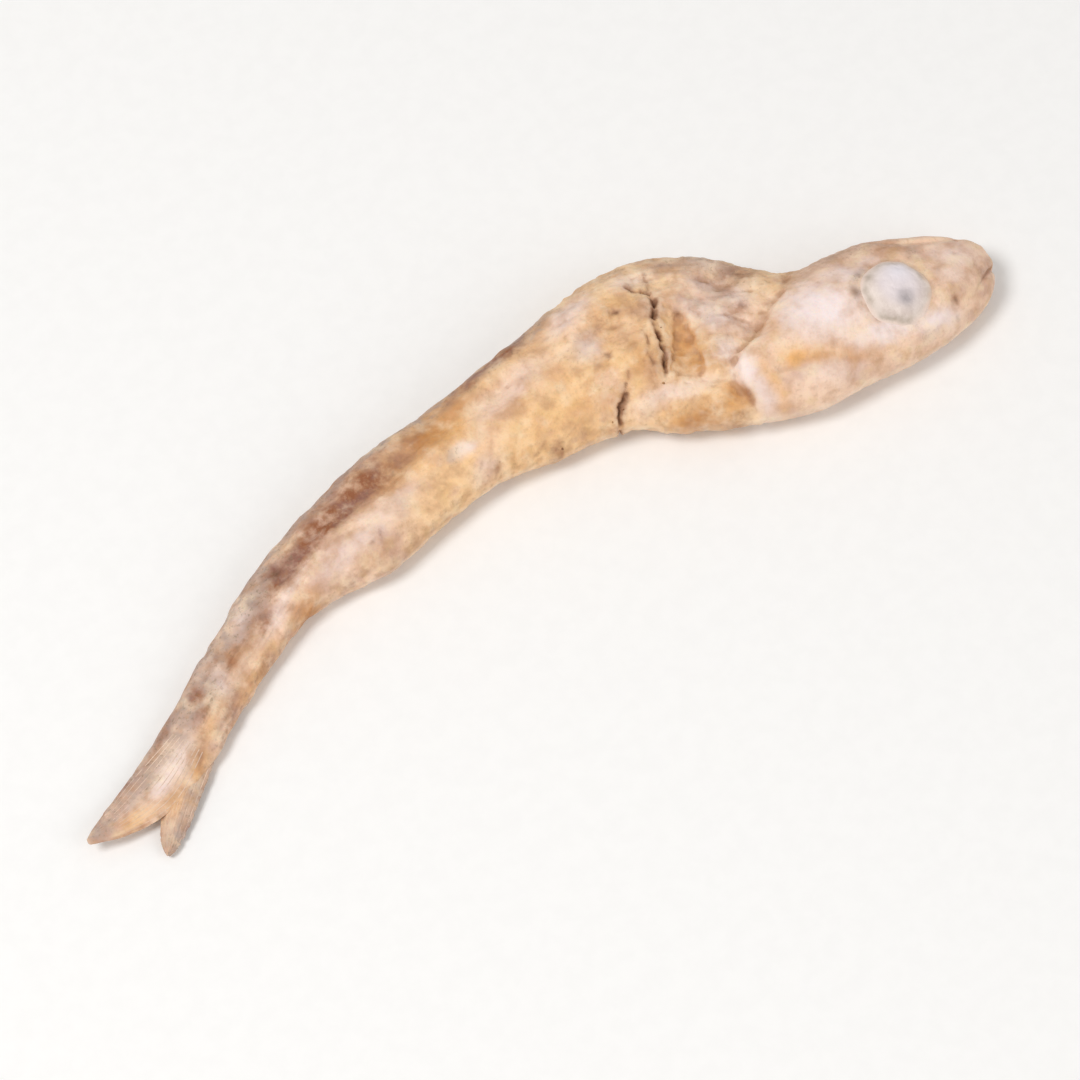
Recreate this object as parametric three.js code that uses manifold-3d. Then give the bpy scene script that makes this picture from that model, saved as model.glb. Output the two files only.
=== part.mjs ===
// A small dried fish, whole from its snout to its worn tail fin, lying on its
// left side as it dried. Lengths are in millimetres. +X points to the head,
// +Y to the back of the fish and +Z up. The origin is at the middle of the
// bounding box, on the flat surface that the fish lies on.

import * as THREE from 'three';
import { mergeVertices } from 'three/addons/utils/BufferGeometryUtils.js';
import Module from 'manifold-3d';

const wasm = await Module();
wasm.setup();

// ---------------------------------------------------------------- dimensions

// The middle line of the body in plan, from the root of the tail fin to the
// snout. The trunk arches up to a hump and the head hangs down from it.
const SPINE = [
  [-40.52, -8.41], [-37.8, -6.9], [-32.5, -3.7], [-24.8, 0.2], [-17.9, 2.4], [-9.9, 3.6], [-2, 4.4],
  [6, 4.9], [13, 4.7], [19, 3.4], [24.5, 0.8], [30, -2.1], [36, -4.4], [42, -5.4], [51.9, -5.9],
];

// Sections across the middle line: at = distance from the tail root along it,
// back and belly = how far the section reaches to each side, thick = how high
// it stands and lift = how far it is clear of the surface below.
const SECTIONS = [
  { at: 0, back: 2.3, belly: 1.4, thick: 0.5, lift: 1.0 },
  { at: 2, back: 3.1, belly: 2.4, thick: 1.6, lift: 0.5 },
  { at: 7, back: 3.0, belly: 2.5, thick: 2.9, lift: 0.2 },
  { at: 14, back: 3.05, belly: 2.7, thick: 3.9, lift: 0 },
  { at: 20, back: 3.45, belly: 2.9, thick: 4.6, lift: 0 },
  { at: 24, back: 3.8, belly: 3.8, thick: 5.0, lift: 0 },
  { at: 29, back: 4.4, belly: 5.2, thick: 5.6, lift: 0 },
  { at: 36, back: 4.95, belly: 4.9, thick: 6.2, lift: 0 },
  { at: 43, back: 4.9, belly: 4.7, thick: 6.7, lift: 0 },
  { at: 49, back: 5.5, belly: 6.0, thick: 7.1, lift: 0 },
  { at: 54, back: 6.3, belly: 6.7, thick: 7.4, lift: 0 },
  { at: 58, back: 7.6, belly: 7.0, thick: 7.7, lift: 0 },
  { at: 62, back: 8.9, belly: 8.4, thick: 7.9, lift: 0 },
  { at: 67, back: 9.3, belly: 8.8, thick: 7.7, lift: 0 },
  { at: 72, back: 7.8, belly: 8.6, thick: 7.4, lift: 0 },
  { at: 77, back: 6.1, belly: 8.2, thick: 7.6, lift: 0 },
  { at: 82, back: 6.6, belly: 6.7, thick: 7.9, lift: 0 },
  { at: 87, back: 6.6, belly: 6.2, thick: 7.6, lift: 0 },
  { at: 92, back: 4.9, belly: 5.1, thick: 6.5, lift: 0 },
  { at: 94.6, back: 3.6, belly: 3.9, thick: 5.2, lift: 0.3 },
  { at: 96.2, back: 2.3, belly: 2.5, thick: 3.7, lift: 1.0 },
  { at: 97, back: 1.0, belly: 1.1, thick: 2.3, lift: 1.7 },
];

const BACK_FULLNESS = 2.4; // superellipse exponent, rounder than the belly
const BELLY_FULLNESS = 2.0;
const MIDDLE_HEIGHT = 0.42; // height of the widest line, as a share of thick
const UNDER_SHARE = 0.5; // how much of the height and relief the underside has
const RING_STEP_TRUNK = 0.9;
const RING_STEP_HEAD = 0.56;
const HEAD_FROM = 60; // along the middle line
const POINTS_OVER = 26; // ring points over the shown flank
const POINTS_UNDER = 8; // and under the fish

// The two worn lobes of the tail fin: middle line, half width and height.
const LOBE_THICK = 0.9;
const UPPER_LOBE = [
  { x: -37.0, y: -6.4, half: 1.6, z: 1.4 },
  { x: -42.5, y: -8.5, half: 2.7, z: 1.2 },
  { x: -46.7, y: -9.4, half: 1.8, z: 1.5 },
  { x: -50.0, y: -9.8, half: 0.7, z: 2.1 },
];
const LOWER_LOBE = [
  { x: -35.8, y: -6.4, half: 1.0, z: 1.5 },
  { x: -40.4, y: -10.1, half: 1.7, z: 1.1 },
  { x: -43.2, y: -12.7, half: 1.2, z: 0.9 },
  { x: -44.8, y: -14.4, half: 0.6, z: 0.9 },
];
const LOBE_RINGS = 10;
const LOBE_POINTS = 10;

// Relief on the flank. The rear edge of the gill cover stands proud of the
// trunk behind it, above a slit.
const GILL_EDGE = [
  [34.6, 1.6], [32.3, -0.4], [30.5, -1.1], [27.6, -2.9],
  [24.7, -3.7], [23.5, -5.5], [24.0, -8.2], [26, -12],
];
const GILL = { step: 1.0, outer: -0.2, inner: 0.5, hold: 2, fade: 9 };
const SLIT = { depth: 0.35, at: -0.7, half: 0.7 };

const EYE = { x: 40.7, y: -6.25, socket: 3.3, rim: 0.6, lens: 2.2, trench: 0.5, dome: 0.6 };

// Grooves, as a middle line with a half width and a depth.
const MOUTH = [[49.3, -9.6], [45.7, -9.7], [41.5, -10.1], [36.5, -9.9], [32.8, -9.3], [27.0, -6.9]];
const BACK_FURROW = [[-34, -3.4], [-24.8, 0.6], [-17.2, 3.7], [-10.2, 4.6], [-2, 5.4], [5, 6.4]];
const FLAP_EDGE = [[13.9, -1.4], [16.1, -1.7], [17.8, -2.2], [20.0, -3.2], [22.4, -4.7], [23.1, -6.0]];
const BROW = [[42.5, 0.4], [44.3, -1.5], [46.8, -2.6], [50.0, -3.4]];
const NAPE_FRONT = [[27.0, 5.1], [29.3, 2.2], [30.8, -0.8]];
const NAPE_REAR = [[24.5, 4.4], [26.5, 1.6], [27.7, -2.3]];
const GROOVES = [
  { path: MOUTH, half: 0.7, depth: 0.5 },
  { path: BACK_FURROW, half: 1.1, depth: 0.4 },
  { path: FLAP_EDGE, half: 0.7, depth: 0.6 },
  { path: BROW, half: 0.7, depth: 0.4 },
  { path: NAPE_FRONT, half: 0.8, depth: 0.3 },
  { path: NAPE_REAR, half: 0.8, depth: 0.3 },
];

// Soft dents and swellings: radii along and across, turn in degrees and depth.
// A swelling has a negative depth.
const DENTS = [
  { x: 21.3, y: 0.1, along: 3.6, across: 1.7, turn: 68, depth: 1.0 },
  { x: 26.9, y: 4.0, along: 3.2, across: 2.2, turn: -40, depth: 0.5 },
  { x: 14.6, y: 8.0, along: 3.2, across: 2.2, turn: 20, depth: -0.5 },
  { x: 9.5, y: 2.0, along: 4.5, across: 2.6, turn: 10, depth: 0.4 },
  { x: -4.5, y: 1.5, along: 6.0, across: 2.0, turn: 8, depth: 0.3 },
  { x: -16.5, y: 0.4, along: 5.0, across: 2.0, turn: 15, depth: -0.3 },
  { x: -28.0, y: -3.0, along: 6.0, across: 1.1, turn: 27, depth: 0.35 },
  { x: 33.8, y: -3.4, along: 3.8, across: 3.0, turn: -20, depth: -0.3 },
  { x: 19.4, y: -5.0, along: 3.4, across: 1.4, turn: -30, depth: -0.4 },
];

// The crack that runs across the hump, in two parts, open at the top.
const CRACKS = [
  [[20.2, 7.9], [20.7, 7.2], [21.4, 6.3], [21.2, 4.9], [20.3, 3.9], [19.8, 2.3], [19.1, 0.5], [18.0, -1.3]],
  [[15.2, 0.4], [14.0, -0.7], [12.8, -1.5], [12.1, -3.2]],
];
const CRACK_HALF = 0.3;
const CRACK_DEPTH = 1.3;
const CRACK_ABOVE = 0.8; // how far the cutting wedge stands out of the skin
const CRACK_LOWEST = 3; // the wedge follows the skin down to this height

// Slow waves over the plan, so that no stretch of the skin is quite even.
const WAVES = [
  { height: 0.14, x: 0.45, y: 0.8, shift: 0 },
  { height: 0.14, x: -0.5, y: 1.1, shift: 1.3 },
  { height: 0.084, x: 1.05, y: 0, shift: 0.4 },
];
const SAME_POINT = 1e-4; // points closer than this are one
const SKIN_COLOUR = 0xdcb58a;
const SKIN_ROUGHNESS = 0.62;

// ------------------------------------------------------------------- helpers

// 0 below a, 1 above b, with a smooth rise between them.
function ramp(a, b, x) {
  const t = THREE.MathUtils.clamp((x - a) / (b - a), 0, 1);
  return t * t * (3 - 2 * t);
}

// A smooth curve through points given in plan.
function planCurve(points) {
  const corners = points.map(([x, y]) => new THREE.Vector3(x, y, 0));
  return new THREE.CatmullRomCurve3(corners, false, 'centripetal');
}

// The distance from (x, y) to a sampled curve, positive on its left side.
function sideDistance(samples, x, y) {
  let best = Infinity;
  let side = 1;
  for (let i = 1; i < samples.length; i += 1) {
    const a = samples[i - 1];
    const b = samples[i];
    const ux = b.x - a.x;
    const uy = b.y - a.y;
    const reach = ((x - a.x) * ux + (y - a.y) * uy) / (ux * ux + uy * uy);
    const t = THREE.MathUtils.clamp(reach, 0, 1);
    const dx = x - a.x - t * ux;
    const dy = y - a.y - t * uy;
    const distance = Math.hypot(dx, dy);
    if (distance < best) {
      best = distance;
      side = Math.sign(ux * dy - uy * dx) || 1;
    }
  }
  return best * side;
}

// One value of a table of sections at a distance along the middle line.
function sectionValue(key, at) {
  const last = SECTIONS.length - 1;
  let i = 0;
  while (i < last - 1 && SECTIONS[i + 1].at < at) i += 1;
  const a = SECTIONS[i];
  const b = SECTIONS[i + 1];
  const before = SECTIONS[Math.max(i - 1, 0)];
  const after = SECTIONS[Math.min(i + 2, last)];
  const width = b.at - a.at;
  const t = THREE.MathUtils.clamp((at - a.at) / width, 0, 1);
  const slopeA = ((b[key] - before[key]) / (b.at - before.at)) * width;
  const slopeB = ((after[key] - a[key]) / (after.at - a.at)) * width;
  const t2 = t * t;
  const t3 = t2 * t;
  const fromA = (2 * t3 - 3 * t2 + 1) * a[key] + (t3 - 2 * t2 + t) * slopeA;
  const fromB = (3 * t2 - 2 * t3) * b[key] + (t3 - t2) * slopeB;
  return fromA + fromB;
}

// A closed surface over rings of equally many points, with a pole at each end.
// Seen along the row of rings, each ring runs from the left over the top.
function loft(rings) {
  const count = rings[0].length;
  const vertices = rings.flat();
  const index = [];
  for (let r = 0; r < rings.length - 1; r += 1) {
    for (let k = 0; k < count; k += 1) {
      const a = r * count + k;
      const b = r * count + ((k + 1) % count);
      const c = b + count;
      const d = a + count;
      const shortAC = vertices[a].distanceTo(vertices[c]) < vertices[b].distanceTo(vertices[d]);
      index.push(...(shortAC ? [a, b, c, a, c, d] : [a, b, d, b, c, d]));
    }
  }
  const lastRing = (rings.length - 1) * count;
  for (const [ring, first, flip] of [[rings[0], 0, false], [rings.at(-1), lastRing, true]]) {
    const pole = vertices.length;
    const centre = ring.reduce((sum, p) => sum.add(p), new THREE.Vector3()).divideScalar(count);
    vertices.push(centre);
    for (let k = 0; k < count; k += 1) {
      const a = first + k;
      const b = first + ((k + 1) % count);
      index.push(...(flip ? [a, b, pole] : [a, pole, b]));
    }
  }
  const geometry = new THREE.BufferGeometry().setFromPoints(vertices);
  geometry.setIndex(index);
  return geometry;
}

function toManifold(geometry) {
  const merged = mergeVertices(geometry, SAME_POINT);
  return new wasm.Manifold(new wasm.Mesh({
    numProp: 3,
    vertProperties: new Float32Array(merged.attributes.position.array),
    triVerts: new Uint32Array(merged.index.array),
  }));
}

function fromManifold(solid) {
  const mesh = solid.getMesh();
  const geometry = new THREE.BufferGeometry();
  geometry.setAttribute('position', new THREE.BufferAttribute(mesh.vertProperties, 3));
  geometry.setIndex(new THREE.BufferAttribute(mesh.triVerts, 1));
  return geometry;
}

// -------------------------------------------------------------------- relief

const gillSamples = planCurve(GILL_EDGE).getPoints(36);
const grooves = GROOVES.map((groove) => ({ ...groove, samples: planCurve(groove.path).getPoints(30) }));

// The gill cover: a step up at its rear edge that fades towards the snout.
function gillCover(x, y) {
  const inside = sideDistance(gillSamples, x, y);
  const step = GILL.step * ramp(GILL.outer, GILL.inner, inside) * (1 - ramp(GILL.hold, GILL.fade, inside));
  return step - SLIT.depth * Math.exp(-(((inside - SLIT.at) / SLIT.half) ** 2));
}

// The eye: a trench round the socket and a low dome in it.
function eye(x, y) {
  const r = Math.hypot(x - EYE.x, y - EYE.y);
  const dome = EYE.dome * Math.sqrt(Math.max(0, 1 - (r / EYE.lens) ** 2));
  return dome - EYE.trench * Math.exp(-(((r - EYE.socket) / EYE.rim) ** 2));
}

function groove({ samples, half, depth }, x, y) {
  return -depth * Math.exp(-((sideDistance(samples, x, y) / half) ** 2));
}

function dent({ x: cx, y: cy, along, across, turn, depth }, x, y) {
  const angle = THREE.MathUtils.degToRad(turn);
  const u = ((x - cx) * Math.cos(angle) + (y - cy) * Math.sin(angle)) / along;
  const v = ((y - cy) * Math.cos(angle) - (x - cx) * Math.sin(angle)) / across;
  return -depth * Math.exp(-(u * u + v * v));
}

function wave({ height, x: perX, y: perY, shift }, x, y) {
  return height * Math.sin(perX * x + perY * y + shift);
}

function relief(x, y) {
  let height = gillCover(x, y) + eye(x, y);
  for (const item of WAVES) height += wave(item, x, y);
  for (const item of grooves) height += groove(item, x, y);
  for (const item of DENTS) height += dent(item, x, y);
  return height;
}

// ---------------------------------------------------------------------- body

const spine = planCurve(SPINE);
spine.arcLengthDivisions = 600;
const spineLength = spine.getLength();

// The ring across the body at a distance along the middle line. It is flat
// where it would reach below the surface that the fish lies on.
function bodyRing(at) {
  const u = THREE.MathUtils.clamp(at / spineLength, 0, 1);
  const middle = spine.getPointAt(u);
  const along = spine.getTangentAt(u);
  const back = sectionValue('back', at);
  const belly = sectionValue('belly', at);
  const thick = sectionValue('thick', at);
  const lift = Math.max(0, sectionValue('lift', at));
  const level = lift + MIDDLE_HEIGHT * thick;
  const total = POINTS_OVER + POINTS_UNDER;
  return Array.from({ length: total }, (_, k) => {
    const over = k < POINTS_OVER;
    const turn = over ? k / POINTS_OVER : 1 + (k - POINTS_OVER) / POINTS_UNDER;
    const angle = Math.PI * turn;
    const c = Math.cos(angle);
    const s = Math.sin(angle);
    const power = 2 / (c > 0 ? BACK_FULLNESS : BELLY_FULLNESS);
    const across = Math.sign(c) * Math.abs(c) ** power * (c > 0 ? back : belly);
    const rise = Math.abs(s) ** power;
    const x = middle.x - along.y * across;
    const y = middle.y + along.x * across;
    const bump = relief(x, y);
    const height = over ? (1 - MIDDLE_HEIGHT) * thick + bump : -UNDER_SHARE * (thick + bump);
    return new THREE.Vector3(x, y, Math.max(0, level + rise * height));
  });
}

function buildBody() {
  const end = SECTIONS.at(-1).at;
  const rings = [];
  let at = 0;
  while (at < end) {
    rings.push(bodyRing(at));
    at += at < HEAD_FROM ? RING_STEP_TRUNK : RING_STEP_HEAD;
  }
  rings.push(bodyRing(end));
  return toManifold(loft(rings));
}

// ----------------------------------------------------------------- tail fin

// A lobe is a thin blade with a rounded edge, narrowing to its worn tip.
function buildLobe(points) {
  const line = new THREE.CatmullRomCurve3(points.map(({ x, y, z }) => new THREE.Vector3(x, y, z)));
  const half = new THREE.CatmullRomCurve3(points.map((p) => new THREE.Vector3(p.half, 0, 0)));
  const rings = Array.from({ length: LOBE_RINGS }, (_, r) => {
    const t = r / (LOBE_RINGS - 1);
    const middle = line.getPoint(t);
    const along = line.getTangent(t);
    const wide = half.getPoint(t).x;
    return Array.from({ length: LOBE_POINTS }, (__, k) => {
      const angle = (2 * Math.PI * k) / LOBE_POINTS;
      const across = Math.cos(angle) * wide;
      const rise = (Math.sin(angle) * LOBE_THICK) / 2;
      const x = middle.x - along.y * across;
      const y = middle.y + along.x * across;
      return new THREE.Vector3(x, y, middle.z + rise);
    });
  });
  return toManifold(loft(rings));
}

// -------------------------------------------------------------------- cracks

const DOWN = new THREE.Vector3(0, 0, -1);
const RAY_FROM = 50; // well above the fish

function skinHeight(skin, x, y) {
  const ray = new THREE.Raycaster(new THREE.Vector3(x, y, RAY_FROM), DOWN);
  const hit = ray.intersectObject(skin)[0];
  return hit ? hit.point.z : 0;
}

// A wedge that follows the skin along a path, its sharp edge down.
function buildCrack(skin, path) {
  const curve = planCurve(path);
  const steps = 2 * path.length;
  const spread = (CRACK_HALF * (CRACK_DEPTH + CRACK_ABOVE)) / CRACK_DEPTH;
  const rings = Array.from({ length: steps + 1 }, (_, i) => {
    const p = curve.getPointAt(i / steps);
    const along = curve.getTangentAt(i / steps);
    const z = Math.max(skinHeight(skin, p.x, p.y), CRACK_LOWEST);
    const aside = new THREE.Vector3(-along.y, along.x, 0).multiplyScalar(spread);
    const top = new THREE.Vector3(p.x, p.y, z + CRACK_ABOVE);
    return [top.clone().add(aside), top.sub(aside), new THREE.Vector3(p.x, p.y, z - CRACK_DEPTH)];
  });
  return toManifold(loft(rings));
}

// --------------------------------------------------------------------- fish

const skinMaterial = new THREE.MeshStandardMaterial({
  color: SKIN_COLOUR, roughness: SKIN_ROUGHNESS, metalness: 0,
});

function buildFish() {
  let solid = buildBody();
  for (const lobe of [UPPER_LOBE, LOWER_LOBE]) solid = solid.add(buildLobe(lobe));
  const skin = new THREE.Mesh(fromManifold(solid), skinMaterial);
  for (const path of CRACKS) solid = solid.subtract(buildCrack(skin, path));
  return fromManifold(solid);
}

// Moves the geometry so that the origin is under the middle of its box.
function centreOnBox(geometry) {
  geometry.computeBoundingBox();
  const { min, max } = geometry.boundingBox;
  return geometry.translate(-(min.x + max.x) / 2, -(min.y + max.y) / 2, -min.z);
}

const fish = new THREE.Mesh(centreOnBox(buildFish()), skinMaterial);
fish.name = 'dried_fish';

const group = new THREE.Group();
group.add(fish);

export default group;
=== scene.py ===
# %% [markdown]
# # A small dried fish
# The object is one whole dried fish, about as long as a hand is wide, lying on
# its left side. This file dresses it: a fine skin with its cracks, creases and
# stains, a clouded eye, a worn tail fin with its rays, and a few crumbs. All
# shapes are first worked out in millimetres on one plan drawing, seen from
# above, and are then placed in the frame, which is in metres.

# %% Load the fixed frame
import math

import bpy
import numpy as np
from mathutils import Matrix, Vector


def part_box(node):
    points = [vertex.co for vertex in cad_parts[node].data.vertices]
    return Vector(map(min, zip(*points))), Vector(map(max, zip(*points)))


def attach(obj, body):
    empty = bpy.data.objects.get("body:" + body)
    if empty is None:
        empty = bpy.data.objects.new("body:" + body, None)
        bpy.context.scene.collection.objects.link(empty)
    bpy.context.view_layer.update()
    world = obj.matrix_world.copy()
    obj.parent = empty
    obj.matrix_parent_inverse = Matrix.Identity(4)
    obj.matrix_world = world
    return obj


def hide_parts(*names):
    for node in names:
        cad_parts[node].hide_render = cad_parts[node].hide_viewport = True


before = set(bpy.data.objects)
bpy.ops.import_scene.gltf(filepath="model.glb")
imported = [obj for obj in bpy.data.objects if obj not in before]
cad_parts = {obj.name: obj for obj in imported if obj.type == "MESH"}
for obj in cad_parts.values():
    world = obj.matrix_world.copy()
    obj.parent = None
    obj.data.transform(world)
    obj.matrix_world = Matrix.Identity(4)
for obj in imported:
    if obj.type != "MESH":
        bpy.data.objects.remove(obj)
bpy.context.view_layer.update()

MM = 0.001
BODY = "root"
SOLID = "dried_fish"

# %% [markdown]
# ## Where the drawing lies in the frame
# The numbers of the shape were measured on a drawing whose own zero is near the
# middle of the fish. The lowest corner of the solid is known in both places, so
# the difference of the two is the step from the drawing to the frame.

# %% From the drawing to the frame
DRAWING_LOW = (-50.083, -14.811, 0.0)
SHIFT = np.array(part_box(SOLID)[0]) / MM - DRAWING_LOW


def to_frame(points):
    """Points of the drawing, in mm, as metres in the frame."""
    return (np.asarray(points, float) + SHIFT) * MM


print("step from the drawing to the frame, mm:", SHIFT.round(3))

# %% [markdown]
# ## The body as rows of sections
# A fish is easiest to describe as a ship is: a middle line, and at stations
# along it how far the section reaches to the back and to the belly, how high it
# stands, and how far its underside is clear of the table. Between the stations
# smooth cubic steps fill in. The trunk is bent to a hump and the head hangs
# down from it, because the fish dried in that pose.

# %% The middle line and its stations
SPINE = [
    (-50.0, -9.8), (-46.7, -9.4), (-43.0, -8.65), (-40.2, -7.75), (-37.8, -6.8),
    (-32.5, -3.7), (-24.8, 0.2), (-17.9, 2.4),
    (-9.9, 3.6), (-2, 4.4), (6, 4.9), (13, 4.7), (19, 3.4), (24.5, 0.8),
    (30, -2.1), (36, -4.4), (42, -5.4), (51.9, -5.9),
]
# at, back, belly, thick, lift; at is 0 where the stem ends and the tail fin begins
STATIONS = np.array([
    (-9.5, 0.35, 0.35, 0.22, 1.9), (-8.6, 0.85, 0.8, 0.28, 1.7), (-6.0, 1.75, 1.7, 0.4, 1.25),
    (-3.0, 2.45, 2.3, 0.6, 0.95), (0, 2.85, 2.4, 1.0, 0.75), (3, 3.05, 2.5, 1.9, 0.45),
    (7, 3.0, 2.5, 2.9, 0.2),
    (14, 3.05, 2.7, 3.9, 0), (20, 3.45, 2.9, 4.6, 0), (24, 3.8, 3.8, 5.0, 0),
    (29, 4.4, 5.2, 5.6, 0), (36, 4.95, 4.9, 6.2, 0), (43, 4.9, 4.7, 6.7, 0),
    (49, 5.5, 6.0, 7.1, 0), (54, 6.3, 6.7, 7.4, 0), (58, 7.6, 7.0, 7.7, 0),
    (62, 8.9, 8.4, 7.9, 0), (67, 9.3, 8.8, 7.7, 0), (72, 7.8, 8.6, 7.4, 0),
    (77, 6.1, 8.2, 7.6, 0), (82, 6.6, 6.7, 7.9, 0), (87, 6.6, 6.2, 7.6, 0),
    (92, 4.9, 5.1, 6.5, 0), (94.6, 3.7, 4.0, 5.3, 0.25), (96.2, 2.5, 2.7, 4.1, 0.7),
    (97, 1.45, 1.55, 2.8, 1.3),
])
TAIL_LENGTH = -STATIONS[0, 0]
BODY_END = STATIONS[-1, 0]


def curve_through(points, steps=60):
    """A smooth curve through points, by the centripetal rule."""
    p = np.asarray(points, float)
    p = np.vstack([2 * p[0] - p[1], p, 2 * p[-1] - p[-2]])
    t = np.linspace(0, 1, steps, endpoint=False)[:, None]
    t2, t3 = t * t, t * t * t
    runs = []
    for p0, p1, p2, p3 in zip(p, p[1:], p[2:], p[3:]):
        d0, d1, d2 = (np.linalg.norm(b - a) ** 0.5 for a, b in ((p0, p1), (p1, p2), (p2, p3)))
        m1 = ((p1 - p0) / d0 - (p2 - p0) / (d0 + d1) + (p2 - p1) / d1) * d1
        m2 = ((p2 - p1) / d1 - (p3 - p1) / (d1 + d2) + (p3 - p2) / d2) * d1
        start, end = (2 * t3 - 3 * t2 + 1) * p1, (3 * t2 - 2 * t3) * p2
        runs.append(start + (t3 - 2 * t2 + t) * m1 + end + (t3 - t2) * m2)
    return np.vstack(runs + [p[-2:-1]])


def by_length(points, at):
    """Places and directions at distances along a smooth curve."""
    line = curve_through(points)
    length = np.r_[0, np.cumsum(np.linalg.norm(np.diff(line, axis=0), axis=1))]
    slope = np.gradient(line, length, axis=0)
    place = np.stack([np.interp(at, length, column) for column in line.T], -1)
    way = np.stack([np.interp(at, length, column) for column in slope.T], -1)
    return place, way / np.linalg.norm(way, axis=-1, keepdims=True), length[-1]


def station(column, at):
    """One column of the stations at distances along the middle line."""
    x, y = STATIONS[:, 0], STATIONS[:, column]
    i = np.clip(np.searchsorted(x, at, side="right") - 1, 0, len(x) - 2)
    low, high = np.maximum(i - 1, 0), np.minimum(i + 2, len(x) - 1)
    width = x[i + 1] - x[i]
    t = np.clip((at - x[i]) / width, 0, 1)
    slope_a = (y[i + 1] - y[low]) / (x[i + 1] - x[low]) * width
    slope_b = (y[high] - y[i]) / (x[high] - x[i]) * width
    start = (2 * t**3 - 3 * t**2 + 1) * y[i] + (t**3 - 2 * t**2 + t) * slope_a
    return start + (3 * t**2 - 2 * t**3) * y[i + 1] + (t**3 - t**2) * slope_b


print("length of the middle line, mm:", round(by_length(SPINE, np.array([0.0]))[2], 2))

# %% [markdown]
# ## Tools for relief and stains
# Everything on the skin is placed on the plan: a soft step, the distance to a
# drawn line, and a soft patch. A seeded noise makes edges ragged, so that no
# crack or stain has a drawn look. The noise is the classic one: a random slope
# at each point of a grid, blended between the grid's points.

# %% Soft steps and noise
# large odd numbers turn a corner of the grid and a seed into a random key
CORNER_KEYS, SEED_KEY, OCTAVE_STEP = np.array([374761393, 668265263, 1440662683]), 974634777, 31
FIRST_MIX, SECOND_MIX, KEY_BITS = 1274126177, 2246822519, 0xFFFFFFFF
LOW_HALF, HALF_SIZE = 0xFFFF, 65536
LOUDNESS = 1.7  # brings the sum of the slopes to about -1 to 1
FINER, ASIDE = 2.03, 7.1  # how each octave is scaled and shifted


def ramp(low, high, value):
    t = np.clip((value - low) / (high - low), 0, 1)
    return t * t * (3 - 2 * t)


def noise(points, size, seed, octaves=1):
    """Smooth noise from about -1 to 1, with grains of a size in mm."""
    total, weight, reach = 0.0, 1.0, 0.0
    scaled = np.asarray(points, float) / size
    for octave in range(octaves):
        cell = np.floor(scaled).astype(np.int64)
        part = scaled - cell
        fade = part**3 * (part * (part * 6 - 15) + 10)
        layer = 0.0
        for corner in range(8):
            step = np.array([corner & 1, corner >> 1 & 1, corner >> 2 & 1])
            key = (cell + step) @ CORNER_KEYS
            key = (key + (seed + OCTAVE_STEP * octave) * SEED_KEY) & KEY_BITS
            key = ((key ^ key >> 13) * FIRST_MIX) & KEY_BITS
            key = ((key ^ key >> 15) * SECOND_MIX) & KEY_BITS
            key = key ^ key >> 16
            turn = (key & LOW_HALF) / HALF_SIZE * 2 * math.pi
            rise = (key >> 16 & LOW_HALF) / (HALF_SIZE // 2) - 1
            flat = np.sqrt(np.maximum(0, 1 - rise * rise))
            slope = np.stack([flat * np.cos(turn), flat * np.sin(turn), rise], -1)
            share = np.prod(np.where(step, fade, 1 - fade), -1)
            layer = layer + share * np.sum(slope * (part - step), -1)
        total = total + weight * layer * LOUDNESS
        reach += weight
        weight *= 0.5
        scaled = scaled * FINER + ASIDE
    return total / reach


print("noise test:", noise(np.array([[0.3, 0.7, 0.1]]), 1.0, 5).round(3))


# %% Lines and patches on the plan
def line_distance(points, x, y):
    """Distance to a smooth line on the plan, positive on its left side."""
    line = curve_through(points, 8)
    best, side = np.full(x.shape, np.inf), np.ones(x.shape)
    for (ax, ay), (bx, by) in zip(line, line[1:]):
        ux, uy = bx - ax, by - ay
        t = np.clip(((x - ax) * ux + (y - ay) * uy) / (ux * ux + uy * uy), 0, 1)
        dx, dy = x - ax - t * ux, y - ay - t * uy
        distance = np.hypot(dx, dy)
        nearer = distance < best
        best = np.where(nearer, distance, best)
        side = np.where(nearer, np.where(ux * dy - uy * dx < 0, -1, 1), side)
    return best * side


def patch_distance(x, y, cx, cy, along, across, turn):
    """Distance from the middle of an oval, where 1 is its edge."""
    c, s = math.cos(math.radians(turn)), math.sin(math.radians(turn))
    u, v = (x - cx) * c + (y - cy) * s, (y - cy) * c - (x - cx) * s
    return np.hypot(u / along, v / across)


def bell(distance):
    return np.exp(-(distance**2))


print("bell at its middle and at its half width:", bell(np.array([0.0, 1.0])).round(3))

# %% [markdown]
# ## The main forms on the flank
# The gill cover is a plate that stands proud of the trunk behind it. The eye
# sits in a trench. The mouth, the brow, the creases of the nape and the upper
# edge of the belly flap are grooves, and the hump has a deep hollow beside its
# long crack. These are the same forms that the solid has, only sharper.

# %% Named lines and forms of the flank
GILL_EDGE = [
    (34.6, 1.6), (32.3, -0.4), (30.5, -1.1), (27.6, -2.9), (24.7, -3.7), (23.5, -5.5),
    (24.0, -8.2), (26, -12),
]
MOUTH = [(49.3, -9.6), (45.7, -9.7), (41.5, -10.1), (36.5, -9.9), (32.8, -9.3), (27.0, -6.9)]
BACK_FURROW = [(-34, -3.4), (-24.8, 0.6), (-17.2, 3.7), (-10.2, 4.6), (-2, 5.4), (5, 6.4)]
FLAP_EDGE = [(13.9, -1.4), (16.1, -1.7), (17.8, -2.2), (20.0, -3.2), (22.4, -4.7), (23.1, -6.0)]
BROW = [(42.5, 0.4), (44.3, -1.5), (46.8, -2.6), (50.0, -3.4)]
NAPE_FRONT = [(27.0, 5.1), (29.3, 2.2), (30.8, -0.8)]
NAPE_REAR = [(24.5, 4.4), (26.5, 1.6), (27.7, -2.3)]
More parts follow.
